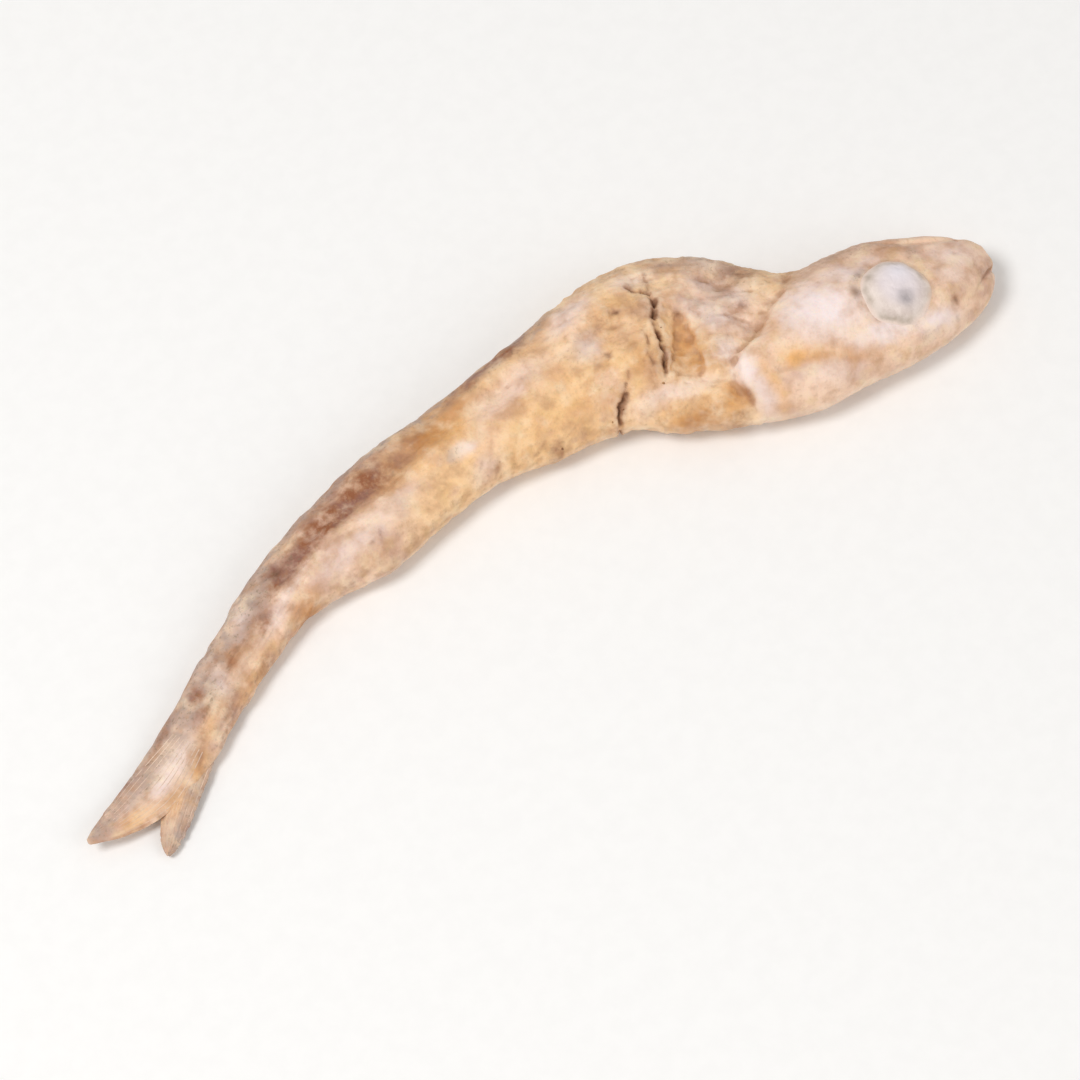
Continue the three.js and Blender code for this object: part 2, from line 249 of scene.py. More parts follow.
LONG_CRACK = [
    (20.2, 7.9), (20.7, 7.2), (21.4, 6.3), (21.2, 4.9), (20.3, 3.9), (19.8, 2.3), (19.1, 0.5),
    (18.0, -1.3),
]
CRACK_BRANCH = [(22.7, 8.8), (22.3, 7.8), (21.6, 6.5)]
FLAP_CRACK = [(15.2, 0.4), (14.0, -0.7), (12.8, -1.5), (12.1, -3.2)]
FINE_CRACK = [(18.7, 3.0), (18.1, 1.3), (17.6, 0.2), (17.0, -0.6)]
# the rim of the hollow, counterclockwise from its lower end
HOLLOW_RIM = [
    (18.5, -1.5), (19.5, -2.6), (20.9, -3.2), (21.8, -2.3), (22.2, -0.6), (22.8, 1.2), (23.0, 3.1),
    (22.3, 3.2), (21.0, 1.6), (19.6, -0.2), (18.5, -1.5),
]
LIPS = [(53.0, -6.9), (51.2, -7.6), (49.4, -8.6), (47.4, -9.7), (45.6, -10.2)]
EYE = (40.7, -6.25)
SOCKET = 3.45
# line, half width, depth
GROOVES = [
    (MOUTH, 0.5, 0.35), (BACK_FURROW, 1.1, 0.45), (FLAP_EDGE, 0.7, 0.5), (BROW, 0.4, 0.45),
    (NAPE_FRONT, 0.7, 0.3), (NAPE_REAR, 0.7, 0.35),
]
# x, y, along, across, turn, depth; a swelling has a negative depth
DENTS = [
    (21.3, 0.1, 3.6, 1.7, 68, 1.0), (26.9, 4.0, 3.2, 2.2, -40, 0.5),
    (14.6, 8.0, 3.2, 2.2, 20, -0.5), (9.5, 2.0, 4.5, 2.6, 10, 0.4),
    (-4.5, 1.5, 6.0, 2.0, 8, 0.3), (-16.5, 0.4, 5.0, 2.0, 15, -0.3),
    (-28.0, -3.0, 6.0, 1.1, 27, 0.35), (33.8, -3.4, 3.8, 3.0, -20, -0.3),
    (19.4, -5.0, 3.4, 1.4, -30, -0.4),
]
# the step of the gill cover is low at the nape and full by the belly
GILL_LOW, GILL_FULL_AT = 0.3, (-1.5, -5.0)
GILL_STEP, GILL_FADE = (-0.25, 0.35), (2, 9)
SLIT_DEPTH, SLIT_BEHIND, SLIT_HALF = 0.35, 0.5, 0.6
TRENCH_DEPTH, TRENCH_HALF = 0.2, 0.6
# height, per mm along x, per mm along y, start
WAVES = [(0.14, 0.45, 0.8, 0), (0.14, -0.5, 1.1, 1.3), (0.084, 1.05, 0, 0.4)]


def eye_distance(x, y):
    return np.hypot(x - EYE[0], y - EYE[1])


def forms(x, y):
    """Height of the main forms over the smooth flank, in mm."""
    inside = line_distance(GILL_EDGE, x, y)
    full = GILL_LOW + (1 - GILL_LOW) * ramp(*GILL_FULL_AT, y)
    height = full * ramp(*GILL_STEP, inside) * (1 - ramp(*GILL_FADE, inside))
    height -= SLIT_DEPTH * full * bell((inside + SLIT_BEHIND) / SLIT_HALF)
    height -= TRENCH_DEPTH * bell((eye_distance(x, y) - SOCKET) / TRENCH_HALF)
    for line, half, depth in GROOVES:
        height -= depth * bell(line_distance(line, x, y) / half)
    for cx, cy, along, across, turn, depth in DENTS:
        height -= depth * bell(patch_distance(x, y, cx, cy, along, across, turn))
    for size, per_x, per_y, start in WAVES:
        height += size * np.sin(per_x * x + per_y * y + start)
    return height


samples = forms(np.array([21.3, 30.0]), np.array([0.1, -4.0]))
print("height at the hollow and on the gill cover, mm:", samples.round(2))

# %% [markdown]
# ## The grid of the skin
# The skin is one closed grid: rings across the body, each with the same number
# of points, spaced evenly round the section. Even spacing matters, because fine
# cracks need points everywhere. The over half is the flank that shows; the
# under half is flattened where it would reach below the table.

# %% Rings of evenly spaced points
RINGS_BEHIND, RINGS_BEFORE = 238, 352
FINER_FROM = 46  # along the middle line; the rings are closer from here on
OVER_POINTS, UNDER_POINTS = 126, 34
CAP_RINGS = 9
MIDDLE_HEIGHT = 0.42
BACK_FULLNESS, BELLY_FULLNESS = 2.4, 2.0
SNOUT_ROUND, TAIL_ROUND = 0.25, 0.2
UNDER_SHARE = 0.5  # how much of the height and the forms the underside has
SECTION_SAMPLES = 240
THIN_TO_THICK = (-2, 8)  # along the middle line, from the flat tail to the stem


def section_turns(back, belly, thick, count, under):
    """Angles that space points evenly over half of a section."""
    angle = np.linspace(0, math.pi, SECTION_SAMPLES)
    c, s = np.cos(angle), np.abs(np.sin(angle))
    power = np.where(c > 0, 2 / BACK_FULLNESS, 2 / BELLY_FULLNESS)
    reach = np.sign(c) * np.abs(c) ** power * np.where(c > 0, back, belly)
    rise = s**power * thick * (UNDER_SHARE if under else 1 - MIDDLE_HEIGHT)
    length = np.r_[0, np.cumsum(np.hypot(np.diff(reach), np.diff(rise)))]
    return np.interp(np.linspace(0, length[-1], count, endpoint=False), length, angle)


def body_rings():
    """Points of every ring, with how far along and across each one is."""
    cap = np.linspace(0, math.pi / 2, CAP_RINGS + 1)[1:-1]
    behind = np.linspace(-TAIL_LENGTH, FINER_FROM, RINGS_BEHIND, endpoint=False)
    middle = np.r_[behind, np.linspace(FINER_FROM, BODY_END, RINGS_BEFORE)]
    at = np.r_[np.full(len(cap), -TAIL_LENGTH), middle, np.full(len(cap), BODY_END)]
    scale = np.r_[np.cos(cap[::-1]), np.ones(len(middle)), np.cos(cap)]
    push = np.r_[-TAIL_ROUND * np.sin(cap[::-1]), np.zeros(len(middle)), SNOUT_ROUND * np.sin(cap)]
    place, way, _ = by_length(SPINE, at + TAIL_LENGTH)
    place = place + way * push[:, None]
    back, belly = station(1, at) * scale, station(2, at) * scale
    thick, lift = station(3, at), np.maximum(0, station(4, at))
    over_turns = [section_turns(b, f, t, OVER_POINTS, False) for b, f, t in zip(back, belly, thick)]
    under_turns = [section_turns(f, b, t, UNDER_POINTS, True) for b, f, t in zip(back, belly, thick)]
    turns = np.hstack([over_turns, math.pi + np.array(under_turns)])
    c, s = np.cos(turns), np.sin(turns)
    power = np.where(c > 0, 2 / BACK_FULLNESS, 2 / BELLY_FULLNESS)
    share = np.sign(c) * np.abs(c) ** power
    across = share * np.where(c > 0, back[:, None], belly[:, None])
    rise = np.abs(s) ** power * scale[:, None]
    x = place[:, :1] - way[:, 1:2] * across
    y = place[:, 1:2] + way[:, :1] * across
    over = np.arange(OVER_POINTS + UNDER_POINTS) < OVER_POINTS
    bump = forms(x, y) * ramp(*THIN_TO_THICK, at)[:, None]
    tall_over = (1 - MIDDLE_HEIGHT) * thick[:, None] + bump
    tall = np.where(over, tall_over, -UNDER_SHARE * (thick[:, None] + bump))
    z = (lift + MIDDLE_HEIGHT * thick)[:, None] + rise * tall
    return np.stack([x, y, np.maximum(0, z)], -1), at, share, over


rings, ring_at, ring_share, ring_over = body_rings()
print("rings and points in each:", rings.shape[:2])

# %% [markdown]
# ## Which way the skin faces
# Fine relief is raised along the skin's own direction, not straight up, or the
# steep sides would smear. The direction at each point is the cross product of
# the step to the next ring and the step to the next point on the ring.

# %% Directions out of the skin
def outward(grid):
    along = np.gradient(grid, axis=0)
    around = np.roll(grid, -1, axis=1) - np.roll(grid, 1, axis=1)
    normal = np.cross(around, along)
    normal /= np.maximum(np.linalg.norm(normal, axis=-1, keepdims=True), 1e-9)
    out = grid - grid.mean(axis=1, keepdims=True)
    return normal * (1 if np.sum(normal * out) > 0 else -1)


skin_normal = outward(rings)
print("mean of the upward directions on the top:", skin_normal[:, OVER_POINTS // 2, 2].mean().round(3))

# %% [markdown]
# ## Stains of the dried skin
# Dried fish is not one colour. The cheek and the flap behind it are pinkish
# white, oil has turned the thin places ochre, a red-brown stripe of blood and
# dark flesh runs along the flank, and the back and the tail keep a grey-mauve
# skin. Each of these is a mask from 0 to 1 at every point of the mesh. Patches
# are named by what they are on the fish, with ragged edges from the noise.
# Some are painted light and shade instead: a painted highlight on the rear rim
# of the gill cover, partly on the top of the flap and as a glint on the flank;
# painted shadow under the gill cover, along the belly edge, and of a
# neighbouring fish on the back's edge and the head; and painted shade in the
# cracks and pits and in part of the back's grey rim.

# %% The table of patches: x, y, along, across, turn, strength
PALE = [
    (33.6, -4.5, 4.2, 2.6, -30, 1.0),  # cheek plate
    (37.4, -8.8, 3.8, 1.0, -8, 0.9),  # under the eye
    (37.4, -2.4, 2.0, 1.2, -20, 0.65),  # behind the brow
    (40.6, -2.1, 1.5, 0.7, -10, 0.45),  # brow
    (42.7, -10.1, 2.4, 0.8, -4, 0.85),  # lip
    (31.2, -9.2, 3.0, 1.0, -18, 0.35),  # jaw
    (48.2, -5.4, 2.0, 1.5, -20, 0.5),  # snout
    (46.8, -7.2, 1.6, 1.0, -20, 0.4),
    (24.3, -5.2, 0.9, 1.5, 0, 0.9),  # painted highlight on the rear rim of the gill cover
    (24.8, -7.4, 0.9, 1.5, 8, 0.75),
    (24.2, -2.4, 1.1, 1.2, 0, 0.6),
    (25.3, 0.8, 1.4, 3.2, 25, 0.55),  # nape
    (26.6, 4.2, 1.8, 1.4, -30, 0.35), (28.2, 1.9, 1.0, 1.6, 20, 0.4), (28.0, 6.8, 1.5, 1.0, -30, 0.35),
    (18.0, -3.0, 4.1, 0.9, -17, 0.5),  # top of the belly flap: pale skin and a painted highlight
    (13.5, 4.7, 1.5, 1.1, 20, 0.45),  # dry patch on the hump
    (14.2, 8.9, 2.8, 1.2, 16, 0.65), (20.6, 8.7, 1.9, 1.0, -10, 0.5),  # crest of the hump
    (-1.6, 2.8, 1.1, 0.55, -12, 0.75),  # dry patch on the flank, partly a painted glint
    (-13.5, 0.9, 6.5, 1.2, 12, 0.4),  # lower flank
    (-0.6, 0.6, 1.7, 0.9, 12, 0.35),
    (4.8, 5.4, 3.6, 1.3, 14, 0.4),  # upper flank
    (-23.5, -0.4, 3.4, 0.5, 28, 0.5),
    (-32.2, -3.5, 1.4, 0.8, 60, 0.65),  # dry patch on the stem
    (-27.4, 0.2, 1.4, 0.6, 40, 0.6),
    (-40.6, -8.0, 3.4, 1.0, 25, 0.7),  # middle of the tail fin
    (-44.6, -8.3, 2.0, 0.5, 20, 0.3),
]
AMBER = [
    (28.9, -6.6, 1.5, 0.8, -20, 1.0),  # behind the jaw
    (31.8, -8.0, 4.6, 0.7, -22, 0.6),  # band over the jaw
    (25.9, -7.4, 0.6, 2.0, 5, 0.7),  # inside the gill cover's rim
    (29.2, -2.9, 0.9, 1.9, -35, 0.55),
    (16.6, -4.9, 3.2, 0.6, -24, 0.55),  # side of the belly flap
    (22.4, -6.2, 1.0, 1.1, -30, 0.9),  # painted shadow under the gill cover
    (-1.6, 5.0, 2.6, 1.2, 6, 0.8),  # end of the stripe
    (8.5, 1.0, 5.0, 1.2, -6, 0.45),  # middle of the flank
    (3.2, 2.2, 2.5, 0.8, 8, 0.3),
    (-6.0, 3.2, 2.2, 0.7, 10, 0.45),  # below the stripe's end
    (-28.6, -4.3, 3.5, 0.5, 30, 0.4),  # lower edge of the stem
    (-35.4, -6.4, 2.2, 0.7, 40, 0.6), (-38.3, -9.5, 2.6, 0.7, 52, 0.7),
    (-41.4, -10.7, 1.6, 0.9, 30, 0.35), (-44.4, -9.9, 1.8, 0.8, 12, 0.8),
    (21.4, 0.6, 2.6, 1.2, 68, 0.6),  # hollow beside the crack
    (18.2, 3.8, 1.4, 1.8, 20, 0.3),
    (15.5, 9.0, 2.6, 0.9, 14, 0.2),
]
OCHRE = [
    (20.4, -1.7, 1.5, 1.0, -30, 0.7),  # lower end of the hollow
    (33.7, -9.1, 1.7, 0.7, -14, 0.45), (31.0, -8.0, 1.6, 0.3, -20, 0.4),  # fold of the jaw
    (23.2, -6.9, 0.5, 0.9, 8, 0.6),  # painted shadow under the gill cover
    (18.7, -6.2, 2.8, 0.9, -20, 1.0),  # lower edge of the belly flap
    # the second patch here is painted shadow under the gill cover
    (20.0, -5.6, 1.4, 0.6, -25, 0.6), (22.2, -5.9, 0.9, 0.7, -30, 0.3),
    (-22.1, -1.9, 2.4, 0.8, 28, 1.0),  # thin belly wall
    (-4.0, 5.8, 3.0, 1.3, 5, 1.0), (-0.4, 6.6, 2.6, 0.9, 8, 0.7),  # end of the stripe
    (-9.4, 4.6, 2.6, 1.1, 15, 0.7),
    (-33.6, -5.6, 0.9, 0.5, 40, 0.7), (-38.6, -9.8, 1.6, 0.35, 52, 0.6), (-30.0, -2.1, 1.0, 0.7, 30, 0.8),
    (-30.4, -4.7, 1.6, 0.5, 35, 0.45), (-44.2, -10.8, 1.5, 0.3, 15, 0.4),
    (13.3, 2.4, 1.0, 0.9, 0, 0.35), (16.8, 0.6, 0.9, 2.4, -15, 0.35),  # before the cracks
    (25.4, -0.7, 0.8, 0.7, 0, 0.35),
]
BROWN = [
    # head
    (49.5, -7.9, 0.9, 0.6, -50, 0.5), (43.0, -1.2, 2.6, 0.9, -25, 0.35), (38.5, 0.4, 3.6, 0.9, -8, 0.35),
    # the first patch here is painted shadow of a neighbouring fish on the head
    (33.6, 1.0, 2.2, 0.7, 40, 0.4), (30.2, 4.1, 2.0, 1.2, -35, 0.6),
    # nape and gill cover's edge
    (28.0, 0.6, 0.9, 0.6, -10, 0.5), (27.9, 3.4, 0.9, 0.6, 0, 0.4), (27.0, 4.9, 1.0, 0.7, 0, 0.5),
    # the last patch here is painted shadow under the gill cover's edge
    (26.4, -0.2, 0.6, 0.5, 0, 0.4), (25.0, 8.4, 1.4, 0.5, -20, 0.3), (23.5, -6.9, 0.3, 0.7, 8, 0.6),
    (22.7, 3.3, 0.4, 0.4, 0, 0.7),
    # hump and belly flap
    (21.6, -8.3, 1.6, 0.5, -10, 0.6), (20.8, -7.7, 2.2, 0.5, -6, 0.7), (20.3, 5.2, 1.3, 2.0, 20, 0.35),
    (19.3, 1.0, 0.9, 2.2, -15, 0.3), (18.4, -6.6, 2.6, 0.4, -20, 0.4), (17.7, 6.2, 0.4, 0.35, 0, 0.7),
    (17.2, -0.9, 1.1, 0.8, 0, 0.3), (16.4, 6.0, 1.4, 1.1, 20, 0.35), (14.6, 3.0, 0.45, 0.35, 0, 0.6),
    (13.0, 2.6, 0.4, 0.35, 0, 0.45), (12.9, 0.3, 0.9, 1.0, 0, 0.15),
    # trunk
    # the first and third patches here are the back edge's own brown and painted shadow of a neighbouring
    # fish
    (7.2, 9.2, 1.8, 0.9, 10, 1.0), (5.9, -1.3, 0.9, 0.6, 30, 0.7), (5.0, 8.9, 5.6, 0.8, 10, 0.85),
    (3.4, 6.8, 2.6, 0.7, 8, 0.2), (0.4, 0.4, 0.5, 0.2, 30, 0.6), (-0.8, 0.9, 0.5, 0.15, 30, 0.4),
    (-5.4, 6.6, 3.0, 0.8, 14, 0.5), (-12.4, 0.1, 0.6, 0.16, 60, 0.5), (-12.6, -1.5, 0.35, 0.16, 80, 0.5),
    (-13.5, -0.1, 0.5, 0.14, 20, 0.4),
    # stem
    (-22.4, 2.8, 1.0, 0.7, 30, 1.0), (-22.4, -2.2, 1.3, 0.3, 28, 0.5), (-22.6, 1.0, 1.0, 0.5, 30, 0.6),
    (-25.7, -0.8, 1.2, 0.45, 30, 0.9), (-27.4, -3.7, 1.4, 0.4, 30, 0.5), (-30.4, -2.6, 0.9, 0.5, 30, 0.7),
    (-31.9, -1.6, 1.6, 0.4, 40, 0.45), (-32.6, -5.9, 1.8, 0.45, 40, 0.6),
    (-34.6, -3.4, 1.1, 0.6, 60, 1.0),
    # tail fin
    (-35.3, -5.2, 1.0, 0.5, 20, 0.8), (-36.4, -7.2, 1.8, 0.35, 45, 0.3), (-37.5, -8.6, 1.6, 0.3, 55, 0.5),
    (-40.0, -5.2, 3.6, 0.35, 30, 0.5),
]
GREY = [
    # head
    (44.6, -3.3, 0.9, 0.5, 40, 0.4), (41.6, -10.9, 1.7, 0.35, 5, 0.25), (39.6, 0.3, 4.6, 1.0, -10, 0.3),
    (38.6, -3.1, 0.9, 0.4, 30, 0.8), (37.2, -4.8, 0.45, 0.9, -10, 1.0), (36.4, -1.6, 1.2, 0.9, 0, 0.2),
    (34.5, -0.6, 2.2, 0.9, 30, 0.3),
    # nape and gill cover's edge
    (29.5, 3.4, 2.6, 2.2, -40, 0.4), (28.2, 7.4, 4.2, 1.6, -42, 0.6), (27.6, 2.2, 1.6, 2.4, 20, 0.3),
    (25.6, 8.8, 3.0, 0.9, -20, 0.5), (24.8, 1.8, 0.9, 2.2, 10, 0.35), (24.4, -1.6, 0.9, 0.9, 0, 0.3),
    # hump and belly flap
    (20.0, 11.0, 5.0, 0.8, 0, 0.4), (16.0, -2.3, 1.6, 0.4, -20, 0.3), (13.0, 5.1, 1.6, 1.0, 20, 0.5),
    # trunk
    (6.0, 8.8, 6.0, 0.7, 10, 0.6), (-2.9, 2.9, 0.8, 0.5, -10, 0.6),
    # stem
    (-25.5, 1.4, 3.6, 1.3, 30, 1.0), (-33.0, -5.6, 4.0, 0.8, 38, 0.35), (-33.2, -3.8, 1.9, 0.9, 50, 0.85),
    # tail fin
    (-37.4, -7.4, 2.4, 0.8, 40, 0.35), (-37.8, -5.8, 2.2, 0.9, 32, 0.8),
    (-43.8, -13.4, 1.9, 1.3, 50, 0.5), (-49.2, -9.7, 1.6, 0.9, 8, 0.8),
]
# places that are pinker than the yellow flank
ROSY = [
    (26.4, 2.0, 3.2, 5.2, 25, 0.9), (6.0, 5.4, 6.0, 2.0, 10, 0.8), (13.6, 6.8, 2.6, 2.4, 20, 0.7),
    (1.0, 2.8, 1.8, 1.2, 10, 0.7), (13.2, 0.6, 1.4, 1.6, 0, 0.7), (18.4, -3.0, 4.4, 1.1, -17, 0.35),
    (23.8, 8.4, 3.4, 1.2, -10, 0.5), (17.4, 4.0, 1.8, 1.6, 0, 0.5),
]
# dark specks; where they sit on pits they are painted shade in them
# x, y, size, strength
DARK_DOTS = [
    (45.7, -9.4, 0.22, 0.55), (45.0, -10.6, 0.2, 0.3), (17.7, 6.2, 0.25, 0.7), (21.3, 5.1, 0.34, 0.8),
    (37.2, -4.8, 0.45, 0.3), (38.6, -3.2, 0.3, 0.25), (-22.3, 2.5, 0.45, 0.8), (-30.9, -2.8, 0.25, 0.4),
    (12.2, -2.8, 0.3, 0.6), (22.7, 3.2, 0.22, 0.5), (30.2, 4.2, 0.25, 0.35), (-35.5, -4.9, 0.25, 0.3),
    (14.6, 3.0, 0.2, 0.35), (28.0, 0.7, 0.25, 0.3), (-25.7, -0.4, 0.3, 0.4), (21.5, 6.6, 0.25, 0.5),
    (27.0, 4.9, 0.25, 0.3), (20.6, 7.8, 0.25, 0.4),
]
print("patches:", sum(len(table) for table in (PALE, AMBER, OCHRE, BROWN, GREY, ROSY)))

# %% Masks at every point
STRIPE = [
    (-36, -5.0), (-31, -2.6), (-26.4, -0.5), (-23, 1.5), (-19.7, 2.8), (-16, 3.7), (-11, 4.7), (-4, 5.4),
]
STRIPE_UP, STRIPE_UP_REAR, STRIPE_DOWN = 2.5, 1.1, 1.05
# how ragged a patch is, and how fast and how steeply it fades
PATCH_RAGGED, PATCH_FADE, PATCH_POWER = 0.25, 0.8, 2.6
# line, half width, depth
CRACKS = [
    (LONG_CRACK, 0.19, 0.6), (CRACK_BRANCH, 0.12, 0.12), (FLAP_CRACK, 0.15, 0.5), (FINE_CRACK, 0.13, 0.2),
]
# size, seed and octaves of each noise
GAPES, RAGGED_EDGES, BLOTCHES = (1.1, 29, 2), (0.8, 11, 3), (3.2, 17, 3)
# size, reach and seed of each wandering
STAINS_WANDER, CUTS_WANDER = (2.0, 0.5, 3), (0.7, 0.22, 23)


def crack_gape(points):
    """A crack opens and closes along its way."""
    return 0.2 + 1.1 * ramp(-0.35, 0.3, noise(points, *GAPES))


def patches(table, x, y, ragged):
    total = np.zeros(x.shape)
    for cx, cy, along, across, turn, strength in table:
        away = patch_distance(x, y, cx, cy, along, across, turn) + PATCH_RAGGED * ragged
        faded = np.exp(-PATCH_FADE * np.maximum(0, away) ** PATCH_POWER)
        total = np.maximum(total, strength * faded)
    return total


def wandering(points, x, y, size, amount, seed):
    """The plan coordinates pushed about a little, for ragged edges."""
    push = [amount * noise(points, size, seed + i, 3) for i in range(2)]
    return x + push[0], y + push[1]


def stripe_mask(x, y, ragged):
    """Red-brown low in the furrow, thinning out slowly towards the back."""
    away = line_distance(STRIPE, x, y) + 0.35 * ragged
    up = STRIPE_UP_REAR + (STRIPE_UP - STRIPE_UP_REAR) * ramp(-23, -14, x)
    across = bell(np.where(away > 0, away / up, away / STRIPE_DOWN))
    front = (1.15 - 0.5 * ramp(-11.5, -7.5, x)) * (1 - ramp(-7.5, -3.5, x))
    rear = 0.4 + 0.6 * ramp(-25.5, -21.5, x)
    return across * ramp(-37, -27, x) * (front * rear)


def grey_mask(points, share, ragged, blotch):
    """The grey skin that is left on the back and on the stem; at the back's edge partly painted shade."""
    place = points[..., 0]
    back = share + 0.25 * ragged
    # grey rim at the back's edge: its own grey skin, and painted shade where the surface turns away
    rim = ramp(0.6, 0.85, back) * (1 - ramp(10, 17, place)) * (0.85 + 0.5 * blotch)
    upper = 0.9 * (1 - ramp(-25, -18, place)) * ramp(-0.15, 0.4, back) * (0.8 + 0.5 * ragged)
    return np.maximum(upper, rim)


def crack_masks(points, x, y):
    """How dark and how brown the cracks make the skin; the dark in them is partly painted shade."""
    cut_x, cut_y = wandering(points, points[..., 0], points[..., 1], *CUTS_WANDER)
    gape = crack_gape(points)
    dark, brown = np.zeros(x.shape), np.zeros(x.shape)
    for line, half, depth in CRACKS:
        away = line_distance(line, cut_x, cut_y)
        open_here = ramp(0.25, 0.8, gape) * min(1, 2 * depth)
        # dark inside an open crack: partly its dark flesh, partly painted shade
        dark = np.maximum(dark, 0.6 * open_here * bell(away / (1.1 * half)))
        brown = np.maximum(brown, (0.25 + 0.65 * open_here) * bell(away / (0.24 + half)))
    # dark specks, and painted shade in the pits that some of them sit on
    for cx, cy, size, strength in DARK_DOTS:
        dark = np.maximum(dark, strength * bell(np.hypot(cut_x - cx, cut_y - cy) / size))
    return dark, brown


def stains(points, share):
    """The masks at points of the drawing; share is 1 at the back edge and -1 at the belly."""
    place = points[..., 0]
    x, y = wandering(points, place, points[..., 1], *STAINS_WANDER)
    ragged, blotch = noise(points, *RAGGED_EDGES), noise(points, *BLOTCHES)
    tables = {"pale": PALE, "amber": AMBER, "ochre": OCHRE, "brown": BROWN, "grey": GREY}
    masks = {name: patches(table, x, y, ragged) for name, table in tables.items()}
    masks["grey"] = np.maximum(masks["grey"], grey_mask(points, share, ragged, blotch))
    socket = 0.25 * bell((eye_distance(x, y) - SOCKET) / 0.35) * ramp(-0.4, 0.4, ragged)
    masks["grey"] = np.maximum(masks["grey"], socket)
    masks["dark"], cut = crack_masks(points, x, y)
    lips = 0.3 * bell(line_distance(LIPS, place, points[..., 1]) / 0.25) * ramp(48, 51, place)
    # browner towards both edges of the stem and tail
    edges = 0.5 * (1 - ramp(-28, -20, place)) * ramp(0.7, 0.95, np.abs(share)) * ramp(-0.1, 0.3, ragged)
    # painted contact shadow along the belly edge
    belly = 0.22 * (1 - ramp(18, 24, place)) * ramp(-0.75, -0.95, share) * ramp(-0.3, 0.3, ragged)
    stripe = stripe_mask(x, y, ragged)
    masks["brown"] = np.maximum.reduce([masks["brown"], edges, belly, stripe, cut, lips])
    rim = line_distance(HOLLOW_RIM, x, y) + 0.12 * ragged
    hollow = ramp(-0.5, 0.6, rim + 0.4 * blotch) * (0.52 + 0.35 * ragged - 0.08 * (y - 1))
    masks["ochre"] = np.maximum(masks["ochre"], hollow)
    trunk = 0.42 * ramp(-14, 2, x) * (1 - ramp(15, 24, x)) * (0.7 + blotch)
    masks["amber"] = np.maximum(masks["amber"], trunk)
    head = ramp(-1.5, 1.5, line_distance(GILL_EDGE, x, y))
    rear = (1 - ramp(-14, -5, place)) * (0.7 + 0.6 * blotch)
    masks["rosy"] = np.maximum.reduce([patches(ROSY, x, y, ragged), 0.8 * head, rear])
    return {name: np.clip(mask, 0, 1) for name, mask in masks.items()}


print("masks:", sorted(stains(np.zeros((1, 3)), np.zeros(1))))

# %% [markdown]
# ## Fine relief of the skin
# Three kinds of relief lie on top of each other. Cracks and pits cut in.
# Shrinking has pulled the skin of the stem and the stripe into fine lengthwise
# wrinkles, and has left the hump and the nape crusty. The head plates stayed
# smooth, with faint rays on the gill cover. All are in real geometry.

# %% Raise and cut the skin along its own direction
HEAD_RAYS_FROM, HEAD_RAYS, HEAD_RAY_HEIGHT = (36.6, -3.4), 34, 0.03
HOLLOW_DEPTH, PEEL_DEPTH, LIP_DEPTH = 0.35, 0.055, 0.35
# size, seed and octaves of each noise
LUMPS, GRIT, CREASES, RIDGES = (3.4, 41, 2), (1.2, 43, 2), (0.95, 47, 2), (1.9, 53, 3)
PULLED, RAY_BENDS, PEELING = (1.7, 83, 2), (2.0, 59), (2.3, 71, 3)
DRAWN_OUT = 0.22  # steps along the body count this much, which makes the creases long
# x, y, size, depth
PITS = [
    (17.6, 6.4, 0.45, 0.3), (45.7, -9.4, 0.4, 0.2), (48.6, -5.2, 0.35, 0.15), (14.7, 3.1, 0.4, 0.16),
    (12.8, 2.4, 0.4, 0.14), (22.4, 4.4, 0.45, 0.18), (26.2, 0.4, 0.5, 0.2), (28.2, 0.6, 0.6, 0.22),
    (30.1, 4.2, 0.6, 0.2), (-22.5, 2.6, 0.6, 0.2), (50.2, -3.5, 0.5, 0.2),
]


def lengthwise(points, at, share):
    """Coordinates that run with the body, so that noise on them is drawn out."""
    wide = station(1, at) + station(2, at)
    return np.stack([at * DRAWN_OUT, share * wide * 0.5, points[..., 2] * 0.3], -1)


def wrinkles(points, at, share, head, rear, crust):
    """Soft lumps, lengthwise creases, and crusty ridges on the hump."""
    thick = ramp(*THIN_TO_THICK, at)
    flow = lengthwise(points, at, share)
    height = 0.22 * thick * (1 - 0.6 * head) * noise(points, *LUMPS)
    height += (0.06 + 0.05 * crust) * (0.3 + 0.7 * thick) * (1 - 0.75 * head) * noise(points, *GRIT)
    creased = 1 - np.abs(noise(flow, *CREASES)) * 2.4
    height += (0.05 + 0.07 * rear * thick + 0.03 * crust) * (1 - head) * creased
    ridges = 1 - np.abs(noise(points, *RIDGES)) * 2.6
    height += 0.12 * crust * ridges
    pulled = noise(flow * (1, 1, 0), *PULLED)
    return height + 0.2 * thick * (1 - head) * ramp(0.6, 0.2, np.abs(share)) * pulled


